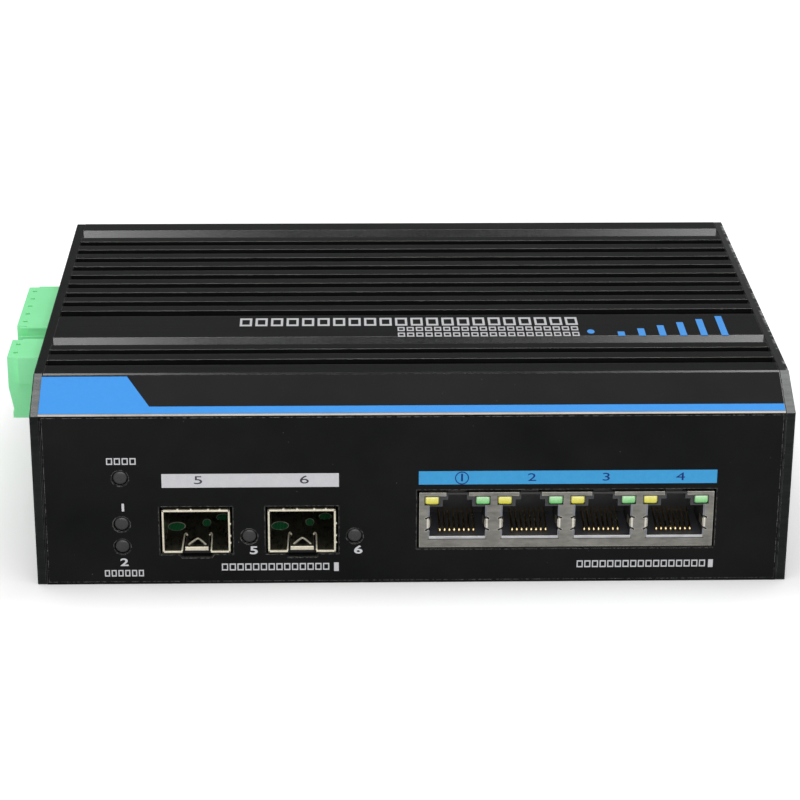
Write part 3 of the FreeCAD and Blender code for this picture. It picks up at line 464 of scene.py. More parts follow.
def carve(piece, cutters):  # cuts the shapes of a bmesh out of a piece
    holder = linked("cutters", meshed(cutters, "cutters"))
    step = piece.modifiers.new("carve", "BOOLEAN")
    step.operation = "DIFFERENCE"
    step.solver = "EXACT"
    step.object = holder
    bpy.context.view_layer.update()
    piece.data = bpy.data.meshes.new_from_object(piece.evaluated_get(bpy.context.evaluated_depsgraph_get()))
    piece.modifiers.clear()
    bpy.data.objects.remove(holder)
    bm = bmesh.new()
    bm.from_mesh(piece.data)
    bmesh.ops.dissolve_degenerate(bm, dist=tiny, edges=bm.edges)
    bm.to_mesh(piece.data)
    bm.free()


def block(bm, low, high):  # box between two corners in mm
    middle = [(a + b) / 2 * mm for a, b in zip(low, high)]
    size = [(b - a) * mm for a, b in zip(low, high)]
    bmesh.ops.create_cube(bm, size=1, matrix=Matrix.Translation(middle) @ Matrix.Diagonal((*size, 1)))


def easedBlock(bm, low, high, width, segments=2, turn=None):
    part = bmesh.new()
    block(part, low, high)
    rounded(part, part.edges[:], width, segments)
    if turn:
        bmesh.ops.transform(part, matrix=turn, verts=part.verts)
    join(bm, part)


def slab(bm, x, sizes):  # eased box reaching half its width to both sides of x
    half, front, back, low, high, width = [sizes[key] for key in ("half", "front", "back", "low", "high", "ease")]
    easedBlock(bm, (x - half, front, low), (x + half, back, high), width)


def turned(bm, profile, place, steps=32):  # profile of (radius, height) in mm, spun about the local Z axis
    part = bmesh.new()
    spots = [part.verts.new((radius * mm, 0, height * mm)) for radius, height in profile]
    lines = [part.edges.new(pair) for pair in zip(spots, spots[1:])]
    bmesh.ops.spin(part, geom=spots + lines, cent=(0, 0, 0), axis=(0, 0, 1), angle=2 * math.pi, steps=steps,
                   use_merge=True)
    bmesh.ops.remove_doubles(part, verts=part.verts, dist=welded)
    bmesh.ops.recalc_face_normals(part, faces=part.faces)
    bmesh.ops.transform(part, matrix=place, verts=part.verts)
    join(bm, part)


def towards(direction, place):  # local Z turned to a direction, at a place in mm
    turn = Vector(direction).to_track_quat("Z", "Y").to_matrix().to_4x4()
    return Matrix.Translation(Vector(place) * mm) @ turn


def facing(depth):  # drawing plane upright at a depth in mm, its Z axis pointing forward
    return Matrix(((1, 0, 0, 0), (0, 0, -1, depth * mm), (0, 1, 0, 0), (0, 0, 0, 1)))


def corners(node):  # lowest and highest corner of a CAD node, in mm
    return [[round(value / mm, 3) for value in corner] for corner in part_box(node)]


def centre(node):
    return [round((a + b) / 2, 2) for a, b in zip(*corners(node))]


def mounted(start):  # places in mm of the record's mounts whose names begin like this
    return [[round(value / mm, 3) for value in mount["pos_m"]] for mount in frame["record"]["mounts"]
            if mount["name"].startswith(start)]


caseLow, caseHigh = corners("finned_profile")
caseFront, caseTop = caseLow[1], caseHigh[2]
coverSide = corners("end_plate_right")[1][0]
caseSizes = {"film": 0.2, "rise": 5.25, "run": 10.9, "ink": 0.02, "ease": 0.2}
shoulderZ = caseTop - caseSizes["rise"]
slope = math.atan2(caseSizes["rise"], caseSizes["run"])
frontFace = facing(caseFront - caseSizes["film"])
topFace = Matrix.Translation((0, 0, caseTop * mm))
shoulderFace = (Matrix.Translation(Vector((0, caseFront, shoulderZ)) * mm) @ Matrix.Rotation(slope, 4, "X")
                @ Matrix.Translation((0, 0, caseSizes["film"] * mm)))
# shares of a normal, then places in mm, that tell one kind of face from another
faceLimits = {"slant": 0.3, "ahead": 0.9, "level": 0.95, "near": 0.25, "cavity": 11.5, "handled": 77.5}


def sloping(normal, middle):
    return normal.y < -faceLimits["slant"] and normal.z > faceLimits["slant"]


def finEdge(normal, middle):  # the rounded front edges of the fins, which get the painted highlight
    return sloping(normal, middle) and middle.z > caseTop - faceLimits["near"]


def shoulderCorner(normal, middle):
    return (sloping(normal, middle) and middle.y < caseFront + faceLimits["near"]
            and middle.z > shoulderZ - faceLimits["near"])


def looksForward(normal, middle):
    return normal.y < -faceLimits["ahead"]


def looksUp(normal, middle):
    return normal.z > faceLimits["level"]


def cavityFloor(normal, middle):
    return looksUp(normal, middle) and middle.z < faceLimits["cavity"]


def endRim(normal, middle):
    return abs(normal.x) > faceLimits["slant"] and (normal.z > faceLimits["slant"] or normal.y < -faceLimits["slant"])


def rubbedRim(normal, middle):  # the handled upper edge on the right
    return normal.z > faceLimits["slant"] and middle.x > faceLimits["handled"] and not sloping(normal, middle)


easedCopy("finned_profile", "profile_body", finishes["caseBlack"], caseSizes["ease"],
          others=[(finishes["slopeBlack"], sloping), (finishes["finEdge"], finEdge),
                  (finishes["bareEdge"], shoulderCorner), (finishes["rimBlack"], endRim)])
# the end plates take copies of the black by facing: painted shade on the fronts, painted sheen on the slopes
for side in ("left", "right"):
    easedCopy("end_plate_" + side, "cover_" + side, finishes["coverBlack"], caseSizes["ease"],
              others=[(finishes["coverEdge"], looksForward), (finishes["coverSlope"], sloping),
                      (finishes["caseBlack"], looksUp), (finishes["rimBlack"], endRim),
                      (finishes["rubbedRim"], rubbedRim)])
easedCopy("base_plate", "base_cover", finishes["coverBlack"], caseSizes["ease"])

shoulderSizes = {"left": -77.2, "right": 76.85, "low": 0.5, "high": 11.42, "ease": 0.05}
film = bmesh.new()
easedBlock(film, (shoulderSizes["left"], shoulderSizes["low"], -caseSizes["film"]),
           (shoulderSizes["right"], shoulderSizes["high"], 0), shoulderSizes["ease"], turn=shoulderFace)
keep(film, "shoulder_film", finishes["shoulderFilm"], replaced=["shoulder_label"])

lineSizes = {"front": -56.21, "back": -55.6, "low": 38.32, "high": 38.62, "ease": 0.08}  # bare metal under the film
line = bmesh.new()
easedBlock(line, (shoulderSizes["left"], lineSizes["front"], lineSizes["low"]),
           (shoulderSizes["right"], lineSizes["back"], lineSizes["high"]), lineSizes["ease"])
keep(line, "shoulder_line", finishes["bareEdge"])
print("housing eased")


def bars(bm, *boxes):  # printed rectangles, each (left, right, bottom, top) in mm
    for left, right, bottom, top in boxes:
        block(bm, (left, bottom, -caseSizes["ink"] / 2), (right, top, caseSizes["ink"]))


def figures(bm, text, x, y, height, widen, weight=0.0):  # plain numbers, centred
    capital = 0.7  # height of a number as a share of the font's size
    words = bpy.data.curves.new("figures", "FONT")
    words.body = text
    words.size = height * mm / capital
    words.align_x = "CENTER"
    words.align_y = "CENTER"
    words.extrude = caseSizes["ink"] * mm
    words.offset = weight * mm
    words.resolution_u = 6
    holder = bpy.data.objects.new("figures", words)
    part = bmesh.new()
    part.from_mesh(bpy.data.meshes.new_from_object(holder))
    place = Matrix.Translation((x * mm, y * mm, 0)) @ Matrix.Diagonal((widen, 1, 1, 1))
    bmesh.ops.transform(part, matrix=place, verts=part.verts)
    join(bm, part)
    bpy.data.objects.remove(holder)


def openBox(bm, left, right, bottom, top, strokeX, strokeY):  # outline of a rectangle
    inner, outer = left + strokeX, right - strokeX
    bars(bm, (left, inner, bottom, top), (outer, right, bottom, top),
         (inner, outer, bottom, bottom + strokeY), (inner, outer, top - strokeY, top))


rowLooks = {  # open boxes in place of wording: width, gap, upright stroke and level stroke
    "small": (1.2, 0.35, 0.24, 0.26),
    "front": (1.3, 0.32, 0.24, 0.28),
    "top": (2.7, 0.75, 0.5, 0.95),
    "lower": (1.5, 0.45, 0.3, 0.65),
}


def openRow(bm, left, right, bottom, top, look):
    wide, gap, strokeX, strokeY = rowLooks[look]
    count = round((right - left + gap) / (wide + gap))
    pitch = (right - left + gap) / count
    for k in range(count):
        openBox(bm, left + k * pitch, left + (k + 1) * pitch - gap, bottom, top, strokeX, strokeY)


def ring(bm, x, y, radius, width):
    for size in (radius, radius - width):
        bmesh.ops.create_circle(bm, cap_ends=False, segments=40, radius=size * mm,
                                matrix=Matrix.Translation((x * mm, y * mm, caseSizes["ink"] * mm)))
    flat = bmesh.ops.bridge_loops(bm, edges=[edge for edge in bm.edges if not edge.link_faces])
    bmesh.ops.solidify(bm, geom=flat["faces"], thickness=caseSizes["ink"] * mm)


def disc(bm, place, radius, thick, segments=32):  # thin round plate about its place
    bmesh.ops.create_cone(bm, cap_ends=True, segments=segments, radius1=radius, radius2=radius, depth=thick * mm,
                          matrix=place)


def dot(bm, x, y, radius, stretch):
    place = Matrix.Translation((x * mm, y * mm, 0)) @ Matrix.Diagonal((1, stretch, 1, 1))
    disc(bm, place, radius * mm, 2 * caseSizes["ink"])


fieldSizes = {"inset": 0.03, "high": 10.95, "band": 2.45, "slantLow": -54.5, "slantHigh": -59.5}


def slantedField(bm):  # field on the shoulder with a slanting end, a low band running on from it
    low, band, high = shoulderSizes["low"], fieldSizes["band"], fieldSizes["high"]
    left, right = shoulderSizes["left"] + fieldSizes["inset"], shoulderSizes["right"] - fieldSizes["inset"]
    outline = [(left, low), (right, low), (right, band), (fieldSizes["slantLow"], band),
               (fieldSizes["slantHigh"], high), (left, high)]
    flat = bm.faces.new([bm.verts.new((x * mm, y * mm, 0)) for x, y in outline])
    lifted = bmesh.ops.extrude_face_region(bm, geom=[flat])
    top = [item for item in lifted["geom"] if isinstance(item, bmesh.types.BMVert)]
    bmesh.ops.translate(bm, vec=(0, 0, caseSizes["ink"] * mm), verts=top)
    bmesh.ops.recalc_face_normals(bm, faces=bm.faces)


def printed(name, face, finish, *groups):  # a group is a shape and the details of each time it is drawn
    bm = bmesh.new()
    for shape, *calls in groups:
        for details in calls:
            shape(bm, *details)
    bmesh.ops.transform(bm, matrix=face, verts=bm.verts)
    return keep(bm, name, finish)


frontPrint = {
    "bars": [(-52.3, -15.5, 22.25, 25.35), (-16.6, -15.6, 2.85, 4.85), (62.44, 63.45, 3.2, 5.0)],
    "rows": [(-63.6, -57.5, 27.5, 29.0, "small"), (-64.8, -56.6, 1.9, 3.4, "small"),
             (-40.2, -17.6, 3.15, 4.75, "front"), (34.6, 61.8, 3.35, 4.95, "front")],
    "figures": [("1", -60.5, 17.7, 1.7, 1.5, 0.05), ("2", -60.6, 5.1, 1.7, 1.5, 0.05),
                ("5", -33.4, 7.7, 1.75, 1.5, 0.06), ("6", -11.5, 7.7, 1.75, 1.5, 0.06)],
}
barPrint = {
    "bar": (1.12, 63.35, 22.63, 25.66),
    "dark": [("5", -44.7, 23.85, 1.8, 1.7), ("6", -22.7, 23.85, 1.8, 1.7)],
    "navy": [("1", 10.1, 24.1, 1.75, 1.6), ("2", 24.7, 24.1, 1.75, 1.6), ("3", 40.2, 24.1, 1.75, 1.6),
             ("4", 55.75, 24.1, 1.75, 1.6)],
    "ring": (10.1, 24.1, 1.45, 0.2),
}
topPrint = {
    "rows": [(-37.0, 37.2, -17.3, -12.4, "top"), (-2.5, 37.0, -20.7, -18.2, "lower"),
             (-2.5, 37.0, -24.2, -21.7, "lower")],
    "dot": (39.6, -21.5, 0.8, 1.6),
    "rising": {"left": 45.4, "pitch": 4.5, "wide": 1.5, "bottom": -24.2, "first": 2.6, "step": 1.9, "count": 6},
}
rising = topPrint["rising"]
risingBars = []
for k in range(rising["count"]):
    left, bottom = rising["left"] + k * rising["pitch"], rising["bottom"]
    risingBars.append((left, left + rising["wide"], bottom, bottom + rising["first"] + k * rising["step"]))
overFace = frontFace @ Matrix.Translation((0, 0, caseSizes["ink"] * mm))  # on top of the front's first ink

printed("shoulder_blue", shoulderFace, finishes["fieldBlue"], (slantedField, ()))
printed("front_white", frontFace, finishes["whiteInk"], (bars, frontPrint["bars"]),
        (openRow, *frontPrint["rows"]), (figures, *frontPrint["figures"]))
printed("front_blue_bar", frontFace, finishes["barBlue"], (bars, [barPrint["bar"]]))
printed("bar_figures_dark", overFace, finishes["darkInk"], (figures, *barPrint["dark"]))
printed("bar_figures_navy", overFace, finishes["navyInk"], (figures, *barPrint["navy"]), (ring, barPrint["ring"]))
printed("top_white", topFace, finishes["whiteInk"], (openRow, *topPrint["rows"]))
printed("top_blue", topFace, finishes["fieldBlue"], (dot, topPrint["dot"]), (bars, risingBars))
print("prints made")


def wire(bm, points, radius):  # round wire through points in mm
    line = bpy.data.curves.new("wire", "CURVE")
    line.dimensions = "3D"
    line.bevel_depth = radius * mm
    line.bevel_resolution = 2
    line.use_fill_caps = True
    spline = line.splines.new("NURBS")
    spline.points.add(len(points) - 1)
    for spot, place in zip(spline.points, points):
        spot.co = (*(value * mm for value in place), 1)
    spline.order_u = 3
    spline.use_endpoint_u = True
    spline.resolution_u = 4
    holder = bpy.data.objects.new("wire", line)
    part = bmesh.new()
    part.from_mesh(bpy.data.meshes.new_from_object(holder))
    bmesh.ops.recalc_face_normals(part, faces=part.faces)
    join(bm, part)
    bpy.data.objects.remove(holder)


portCentres = [place[0] for place in mounted("copper_port")]
jackFace = corners("jack_shield")[0][1]
jackSizes = {"window": 5.94, "ease": 0.05, "bodyEase": 0.07}  # window is half the opening's width
lipSizes = {"half": 5.91, "front": jackFace - 0.07, "back": jackFace + 0.4, "low": 10.29, "high": 10.86, "ease": 0.06}
returnSizes = {"inside": 0.12, "outside": 0.3, "ahead": 0.02, "deep": 0.2, "ease": 0.015,
               "bands": ((10.9, 12.2), (15.35, 17.9))}
slitSizes = {"out": 0.34, "long": 1.05, "high": 0.36, "deep": 0.6, "turn": 26, "levels": (12.42, 15.08), "ease": 0.02}
leafSizes = {"low": 12.75, "high": 14.75, "near": 0.03, "wide": 0.46, "ahead": 0.06, "deep": 0.02, "ease": 0.025}
tongueSizes = {"inside": 0.12, "behind": 0.1, "half": 0.06, "shorter": 0.1, "deep": 2.4, "turn": 9}
shield = easedCopy("jack_shield", "jack_skin", finishes["shieldSteel"], jackSizes["ease"])
cutters, leaves, lips, returns = [bmesh.new() for k in range(4)]
window = jackSizes["window"]


def slit(x, z, sign):  # leaning cut beside the opening
    half, high, deep = slitSizes["long"] / 2, slitSizes["high"] / 2, slitSizes["deep"]
    turn = (Matrix.Translation(Vector((x + sign * slitSizes["out"], jackFace, z)) * mm)
            @ Matrix.Rotation(math.radians(sign * slitSizes["turn"]), 4, "Y"))
    easedBlock(cutters, (-half, -deep, -high), (half, deep, high), slitSizes["ease"], 1, turn)


def leaf(x, sign):  # spring leaf: its bend, painted bright as a highlight, and the tongue that leads inwards
    low, high = leafSizes["low"], leafSizes["high"]
    near, far = sorted((x + sign * leafSizes["near"], x + sign * leafSizes["wide"]))
    easedBlock(leaves, (near, jackFace - leafSizes["ahead"], low), (far, jackFace + leafSizes["deep"], high),
               leafSizes["ease"])
    turn = (Matrix.Translation(Vector((x - sign * tongueSizes["inside"], jackFace + tongueSizes["behind"], 0)) * mm)
            @ Matrix.Rotation(math.radians(sign * tongueSizes["turn"]), 4, "Z"))
    half, less = tongueSizes["half"], tongueSizes["shorter"]
    easedBlock(leaves, (-half, 0, low + less), (half, tongueSizes["deep"], high - less), leafSizes["ease"], turn=turn)


for x in portCentres:
    slab(lips, x, lipSizes)
    for sign in (-1, 1):
        near, far = sorted(x + sign * (window + way) for way in (-returnSizes["inside"], returnSizes["outside"]))
        for bottom, top in returnSizes["bands"]:
            easedBlock(returns, (near, jackFace - returnSizes["ahead"], bottom),
                       (far, jackFace + returnSizes["deep"], top), returnSizes["ease"])
        for z in slitSizes["levels"]:
            slit(x + sign * window, z, sign)
        leaf(x + sign * window, sign)
carve(shield, cutters.copy())
# faces of the cavity floor take the paler, painted-light copy
carve(easedCopy("jack_body", "jack_moulding", finishes["jackPlastic"], jackSizes["bodyEase"],
                others=[(finishes["jackFloor"], cavityFloor)]), cutters)
keep(leaves, "shield_leaves", finishes["shieldBright"])
keep(lips, "shield_lips", finishes["shieldLip"])
keep(returns, "shield_returns", finishes["shieldReturn"])

bridgeSizes = {"half": 2.3, "front": jackFace + 0.12, "back": jackFace + 0.7, "low": 20.28, "high": 20.76,
               "ease": 0.08}
bridges = bmesh.new()
for x in portCentres:
    slab(bridges, x, bridgeSizes)
keep(bridges, "latch_bridges", finishes["jackShade"])

contactSizes = {"pitch": 1.016, "count": 8, "radius": 0.26,
                "path": [(-52.7, 10.8), (-53.5, 10.62), (-54.15, 11.0), (-53.7, 11.6), (-50.0, 12.1), (-46.0, 12.6)]}
contacts = bmesh.new()
for x in portCentres:
    for k in range(contactSizes["count"]):
        across = x + (k - (contactSizes["count"] - 1) / 2) * contactSizes["pitch"]
        wire(contacts, [(across, y, z) for y, z in contactSizes["path"]], contactSizes["radius"])
keep(contacts, "contact_wires", finishes["goldContact"], replaced=["jack_contacts"], smooth=True)

# frame and line size dark bars of painted shade round the lamps and in the crease under each opening
portLampSizes = {"inner": 3.82, "outer": 6.84, "low": 18.02, "high": 19.98, "back": -51.2, "corner": 0.5,
                 "round": 0.55, "frame": 0.16, "line": (10.13, 10.29), "lineOut": 0.25}
inner, outer, low, high = [portLampSizes[key] for key in ("inner", "outer", "low", "high")]
for name, sign, finish in (("yellow", -1, "lampYellow"), ("green", 1, "lampGreen")):
    lenses = bmesh.new()
    for x in portCentres:
        left, right = sorted((x + sign * inner, x + sign * outer))
        block(lenses, (left, jackFace, low), (right, portLampSizes["back"], high))
    deep = [edge for edge in lenses.edges if abs(edge.verts[0].co.y - edge.verts[1].co.y) > mm]
    rounded(lenses, deep, portLampSizes["corner"], 3)
    nose = [edge for edge in lenses.edges if all(abs(vert.co.y - jackFace * mm) < welded for vert in edge.verts)]
    rounded(lenses, nose, portLampSizes["round"], 5)
    keep(lenses, name + "_lenses", finishes[finish], replaced=[name + "_lamps"], smooth=True)
# painted shade: dark outlines round the lamps and a dark line under each opening
stroke = portLampSizes["frame"]
half = stroke / 2
frames = [(x + left - half, x + left + outer - inner + half, low - half, high + half, stroke, stroke)
          for x in portCentres for left in (-outer, inner)]
reach = window + portLampSizes["lineOut"]
printed("lamp_frames", facing(jackFace), finishes["jackShade"], (openBox, *frames),
        (bars, [(x - reach, x + reach, *portLampSizes["line"]) for x in portCentres]))
print("copper ports made")

lampSizes = {"radius": 1.5, "tip": -56.05, "length": 6.0, "dome": 0.3, "rings": 6}
turns = [math.pi / 2 * k / lampSizes["rings"] for k in range(lampSizes["rings"] + 1)]
lampProfile = [(lampSizes["radius"] * math.sin(turn), -lampSizes["dome"] * (1 - math.cos(turn))) for turn in turns]
lampProfile += [(lampSizes["radius"], -lampSizes["length"]), (0, -lampSizes["length"])]
for name in ("alarm_lamp", "power_lamp_1", "power_lamp_2", "fibre_lamp_1", "fibre_lamp_2"):
    x, _, z = centre(name)
    lens = bmesh.new()
    turned(lens, lampProfile, towards((0, -1, 0), (x, lampSizes["tip"], z)))
    keep(lens, name + "_lens", finishes["lampSmoke"], replaced=[name], smooth=True)

cageCentres = [place[0] for place in mounted("fibre_port")]
cageFace = corners("fibre_cage_1")[0][1]
cageSizes = {"half": 7.1, "rim": 0.4, "low": 7.48, "high": 17.27, "slot": 2.98, "floor": 7.83, "ahead": 0.06,
             "deep": 0.5, "ease": 0.05, "rimEase": 0.08}
cageLip = {"half": 2.45, "front": -55.55, "back": -55.3, "low": 7.5, "high": 8.35, "ease": 0.09}
cageTabs = {"across": (-3.8, -1.0, 2.6, 5.0), "up": (14.05, 11.3, 9.7), "halfWide": 0.22, "halfTall": 0.2,
            "inside": 0.05, "deep": 0.4, "ease": 0.06}
cageGlints = {  # points are across and deep from the middle of the cage's face
    "side": ((3.06, 0.2), (3.0, 4.0), (2.95, 8.4), (2.6, 9.1), (2.4, 8.0)), "sideWire": 0.17, "sideUp": 0.08,
    "bridge": ((-1.75, 3.0), (-0.4, 6.0), (0.4, 6.0), (1.75, 3.0)), "bridgeWire": 0.2, "bridgeUp": 0.16,
}
# painted shade: a black pad and skirt under each cage hide the board where it lies in shadow
shadePadTop = {"half": 3.6, "front": -53.4, "back": -45.5, "low": 7.01, "high": 7.08, "ease": 0.03}
shadePadSkirt = {"half": 3.6, "front": -53.9, "back": -53.62, "low": 5.3, "high": 7.05, "ease": 0.05}
holeSizes = {"spots": ((-4.85, 12.4, 1.75, 2.0), (1.5, 14.2, 0.85, 1.7), (4.8, 17.1, 1.3, 1.5)),
             "up": 0.01, "rimUp": 0.004, "rimBack": 0.15, "rimWider": 1.08}  # spots: across, deep, half sizes
rims, glints, glimpses, shadePads = [bmesh.new() for k in range(4)]


def cageRims(x):  # pale cut edges round a cage's mouth, painted as a highlight, with the small tabs outside them
    half, rim, low, high, slot = [cageSizes[key] for key in ("half", "rim", "low", "high", "slot")]
    front = cageFace - cageSizes["ahead"]
    for left, right, bottom, top in ((-half, rim - half, low, high), (half - rim, half, low, high),
                                     (-half, half, high - rim, high), (-half, -slot, low, low + rim),
                                     (slot, half, low, low + rim)):
        easedBlock(rims, (x + left, front, bottom), (x + right, cageFace + cageSizes["deep"], top),
                   cageSizes["rimEase"])
    slab(rims, x, cageLip)
    back = cageFace + cageTabs["deep"]
    inside, wide, tall = [cageTabs[key] for key in ("inside", "halfWide", "halfTall")]
    for across in cageTabs["across"]:
        easedBlock(rims, (x + across - wide, front, high - inside), (x + across + wide, back, high + wide),
                   cageTabs["ease"])
    for z in cageTabs["up"]:
        easedBlock(rims, (x + half - inside, front, z - tall), (x + half + tall, back, z + tall), cageTabs["ease"])


def cageInside(x):  # painted highlights on a cage's floor, the board seen through its holes, and a dark pad under it standing for shade
    floor = cageSizes["floor"]
    for sign in (-1, 1):
        # painted highlights: pale wires along the slot edges on the cage floor
        wire(glints, [(x + sign * across, cageFace + deep, floor + cageGlints["sideUp"])
                      for across, deep in cageGlints["side"]], cageGlints["sideWire"])
    wire(glints, [(x + across, cageFace + deep, floor + cageGlints["bridgeUp"])
                  for across, deep in cageGlints["bridge"]], cageGlints["bridgeWire"])
    slab(shadePads, x, shadePadTop)
    slab(shadePads, x, shadePadSkirt)
    thick = holeSizes["up"]
    for across, deep, wide, long in holeSizes["spots"]:
        stretch = Matrix.Diagonal((wide * mm, long * mm, 1, 1))
        disc(glimpses, Matrix.Translation(Vector((x + across, cageFace + deep, floor + holeSizes["up"])) * mm)
             @ stretch, 1, thick, 28)
        # a painted highlight ring round each hole
        wider = holeSizes["rimWider"]
        under = Vector((x + across, cageFace + deep + holeSizes["rimBack"], floor + holeSizes["rimUp"])) * mm
        disc(glints, Matrix.Translation(under) @ stretch @ Matrix.Diagonal((wider, wider, 1, 1)), 1, thick, 28)


for number, x in enumerate(cageCentres, 1):
    easedCopy("fibre_cage_%d" % number, "cage_%d" % number, finishes["cageMetal"], cageSizes["ease"])
    cageRims(x)
    cageInside(x)
keep(rims, "cage_rims", finishes["cageRim"])
keep(glints, "cage_glints", finishes["cageGlint"])
keep(glimpses, "board_glimpses", finishes["glimpseGreen"])
keep(shadePads, "cage_gaskets", finishes["chipPlastic"])
print("fibre cages made")

plugEase, headerEase = 0.22, 0.12
# forward faces of plugs and headers take the paler green, painted light
paler = [(finishes["terminalFront"], looksForward)]
for kind in ("power", "alarm"):
    plug, header = kind + "_plug", kind + "_header"
    easedCopy(plug, plug + "_moulding", finishes["terminalGreen"], plugEase, plug, paler)
    easedCopy(header, header + "_moulding", finishes["terminalGreen"], headerEase, others=paler)
# the ribs on the plug's front take the same painted-light green
ribSizes = {"left": -87.2, "right": -79.4, "front": 0.72, "back": 1.2, "bands": ((36.25, 36.75), (33.9, 34.6)),
            "ease": 0.12}
ribs = bmesh.new()
for bottom, top in ribSizes["bands"]:
    easedBlock(ribs, (ribSizes["left"], ribSizes["front"], bottom), (ribSizes["right"], ribSizes["back"], top),
               ribSizes["ease"])
keep(ribs, "power_plug_ribs", finishes["terminalFront"], "power_plug")
print("terminal blocks made")

screwSizes = {"head": 2.35, "neck": 1.0, "edge": 0.1, "rim": 0.12, "dish": 1.35, "cross": 1.25, "groove": 0.24,
              "deep": 0.8, "above": 0.5, "ease": 0.03, "steps": 28}
screwPlaces = {"cover": (51.2, (3.7, 36.2)), "base": (58, 51.2), "clip": (9, 9.5)}
(_, railBack, railMiddle), = mounted("din_rail")
coverAway, coverLevels = screwPlaces["cover"]
(baseX, baseY), (clipX, clipZ) = screwPlaces["base"], screwPlaces["clip"]
both = (-1, 1)
screwGroups = {  # for each node the shaft's length, the way the heads face and where they are
    "end_plate_screws": (8.0, [((sign * coverSide, way * coverAway, z), (sign, 0, 0))
                               for sign in both for way in both for z in coverLevels]),
    "base_screws": (5.0, [((sign * baseX, way * baseY, 0), (0, 0, -1)) for sign in both for way in both]),
    "rail_plate_screws": (4.0, [((sign * clipX, railBack, railMiddle + way * clipZ), (0, 1, 0))
                                for sign in both for way in both]),
}
for node, (length, spots) in screwGroups.items():
    heads = bmesh.new()
    profile = [(0, 0), (screwSizes["head"] - screwSizes["edge"], 0), (screwSizes["head"], -screwSizes["rim"]),
               (screwSizes["neck"], -screwSizes["dish"]), (screwSizes["neck"], -length), (0, -length)]
    for place, direction in spots:
        turned(heads, profile, towards(direction, place), screwSizes["steps"])
    piece = keep(heads, node + "_turned", finishes["screwSteel"], replaced=[node])
    arm, thin = screwSizes["cross"], screwSizes["groove"]
    for wide, tall in ((arm, thin), (thin, arm)):
        grooves = bmesh.new()
        for place, direction in spots:
            easedBlock(grooves, (-wide, -tall, -screwSizes["deep"]), (wide, tall, screwSizes["above"]),
                       screwSizes["ease"], 1, towards(direction, place))
        carve(piece, grooves)
print("screws made")

clipEase = {"plate": 0.25, "latch": 0.3}
easedCopy("rail_plate", "clip_plate", finishes["clipSteel"], clipEase["plate"])
easedCopy("rail_latch", "clip_latch", finishes["latchBlack"], clipEase["latch"], "rail_latch")
springLow, springHigh = corners("latch_spring")
_, springY, springZ = centre("latch_spring")
springSizes = {"start": round(springLow[0] + 0.3, 3), "end": round(springHigh[0] - 0.3, 3), "y": springY,
               "z": springZ, "radius": 1.2, "wire": 0.28, "turns": 5, "steps": 24, "sides": 10}
coil = bmesh.new()
firstTurn = Vector((springSizes["start"], springSizes["y"], springSizes["z"] + springSizes["radius"])) * mm
bmesh.ops.create_circle(coil, cap_ends=False, segments=springSizes["sides"], radius=springSizes["wire"] * mm,
                        matrix=Matrix.Translation(firstTurn) @ Matrix.Rotation(math.radians(90), 4, "X"))
steps = springSizes["turns"] * springSizes["steps"]
advance = (springSizes["end"] - springSizes["start"]) / steps
bmesh.ops.spin(coil, geom=coil.verts[:] + coil.edges[:], cent=(0, springSizes["y"] * mm, springSizes["z"] * mm),
               axis=(1, 0, 0), dvec=(advance * mm, 0, 0), angle=2 * math.pi * springSizes["turns"], steps=steps)
bmesh.ops.holes_fill(coil, edges=[edge for edge in coil.edges if edge.is_boundary])
bmesh.ops.recalc_face_normals(coil, faces=coil.faces)
spring = keep(coil, "clip_spring", finishes["springSteel"], replaced=["latch_spring"], smooth=True)
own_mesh(spring)
print("rail clip made")

cameraSizes = {"place": (-16.22, -543.56, 238.68), "down": 22.005, "turn": -1.567, "roll": 0.305, "lens": 115.263,
               "sensor": 36, "nearest": 0.01}
eye = linked("camera", bpy.data.cameras.new("camera"))
eye.data.lens = cameraSizes["lens"]
eye.data.sensor_width = cameraSizes["sensor"]
eye.data.clip_start = cameraSizes["nearest"]
eye.matrix_world = (Matrix.Translation(Vector(cameraSizes["place"]) * mm)
                    @ Matrix.Rotation(math.radians(cameraSizes["turn"]), 4, "Z")
                    @ Matrix.Rotation(math.radians(90 - cameraSizes["down"]), 4, "X")
                    @ Matrix.Rotation(math.radians(cameraSizes["roll"]), 4, "Z"))
scene.camera = eye
scene.view_settings.view_transform = "Standard"

lampsOver = {
    "overLeft": {"place": (-0.31, -0.2, 1.1), "aim": (-0.31, -0.2, 0), "size": (0.32, 1.2), "power": 3.5},
    "overRight": {"place": (0.37, -0.2, 1.1), "aim": (0.37, -0.2, 0), "size": (0.32, 1.2), "power": 3.5},
    "frontFill": {"place": (0.1, -1.5, 0.5), "aim": (0, 0, 0), "size": (1.2, 0.8), "power": 8.1},
}
for name, settings in lampsOver.items():
    light = bpy.data.lights.new(name, "AREA")
    light.shape = "RECTANGLE"
    light.size, light.size_y = settings["size"]
    light.energy = settings["power"]
    place = Vector(settings["place"])
    linked(name, light).matrix_world = towards(place - Vector(settings["aim"]), place / mm)

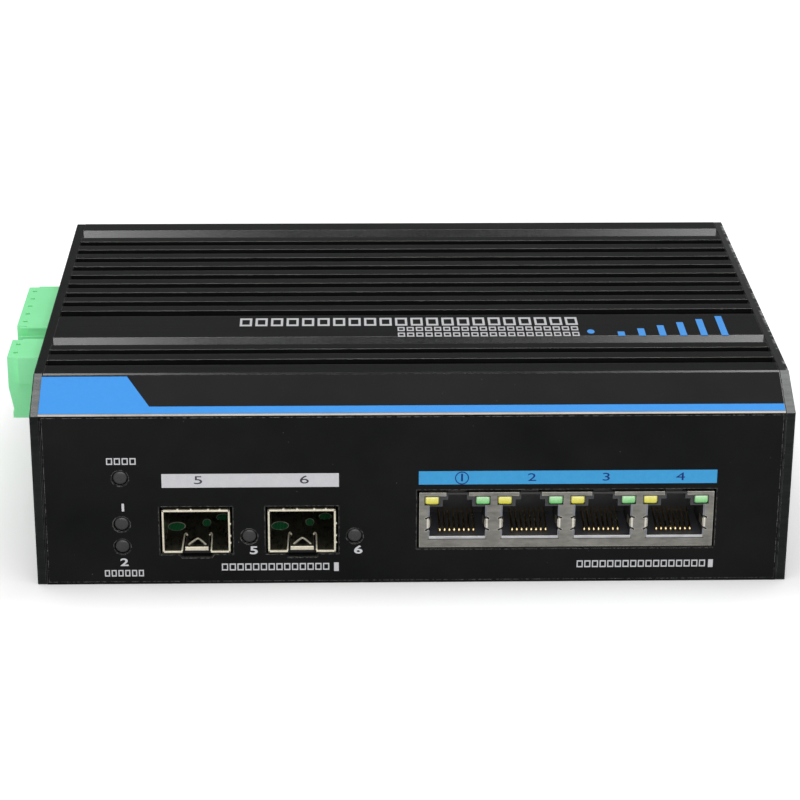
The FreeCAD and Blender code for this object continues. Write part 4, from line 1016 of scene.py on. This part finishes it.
worldLook = {"fill": 0.43, "shown": 1.0}  # strength for lighting, and where the surroundings are seen
world = bpy.data.worlds.new("studio")
world.use_nodes = True
scene.world = world
sky = Graph(world.node_tree)
background = world.node_tree.nodes["Background"]
seen, gloss, clear = [sky.node("ShaderNodeLightPath", output=kind)
                      for kind in ("Is Camera Ray", "Is Glossy Ray", "Is Transmission Ray")]
shown = seen.maths("MAXIMUM", seen.maths("MAXIMUM", seen, gloss), clear)
sky.feed(background.inputs["Strength"], sky.spread(shown, 0, 1, worldLook["fill"], worldLook["shown"]))
sky.feed(background.inputs["Color"], (1, 1, 1))


def staged(bm, name, finish):  # something of the scene that isn't part of the object
    prop = linked(name, meshed(bm, name))
    prop.data.materials.append(finish.material)
    return prop


panelLook = {"low": (-148, -1000, 1099), "high": (208, 800, 1101), "tone": (20, 20, 20)}
ceiling = bmesh.new()  # a dark panel between the two soft lights, which only a gloss sees
block(ceiling, panelLook["low"], panelLook["high"])
panel = staged(ceiling, "panel", Finish("panelPaint", Base_Color=tint(panelLook["tone"])))
panel.visible_camera = False
panel.visible_diffuse = False
panel.visible_shadow = False
panel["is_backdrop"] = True

floorLook = {"radius": 6, "tone": (245, 245, 245), "reach": 0.02, "dim": 0.15, "pale": 0.4}
paint = Finish("floorPaint", Base_Color=tint(floorLook["tone"]), Roughness=0.9, Specular_IOR_Level=0.0,
               Emission_Strength=1.0)
beside = abs(paint.axis("X")) - coverSide * mm
before = abs(paint.axis("Y")) + caseFront * mm
away = beside.maths("MAXIMUM", beside, before)  # the floor's camera-only glow grows with the distance from the case, painting the floor darker near it like a contact shadow
glow = paint.spread(away, 0, floorLook["reach"], floorLook["dim"], floorLook["pale"])
paint.wear(Emission_Color=paint.mix(paint.node("ShaderNodeLightPath", output="Is Camera Ray") * glow,
                                    (0, 0, 0), (1, 1, 1)))
ground = bmesh.new()
bmesh.ops.create_circle(ground, cap_ends=True, segments=64, radius=floorLook["radius"])
floor = staged(ground, "floor", paint)
floor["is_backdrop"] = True
print("camera, light and floor set")

low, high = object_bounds()
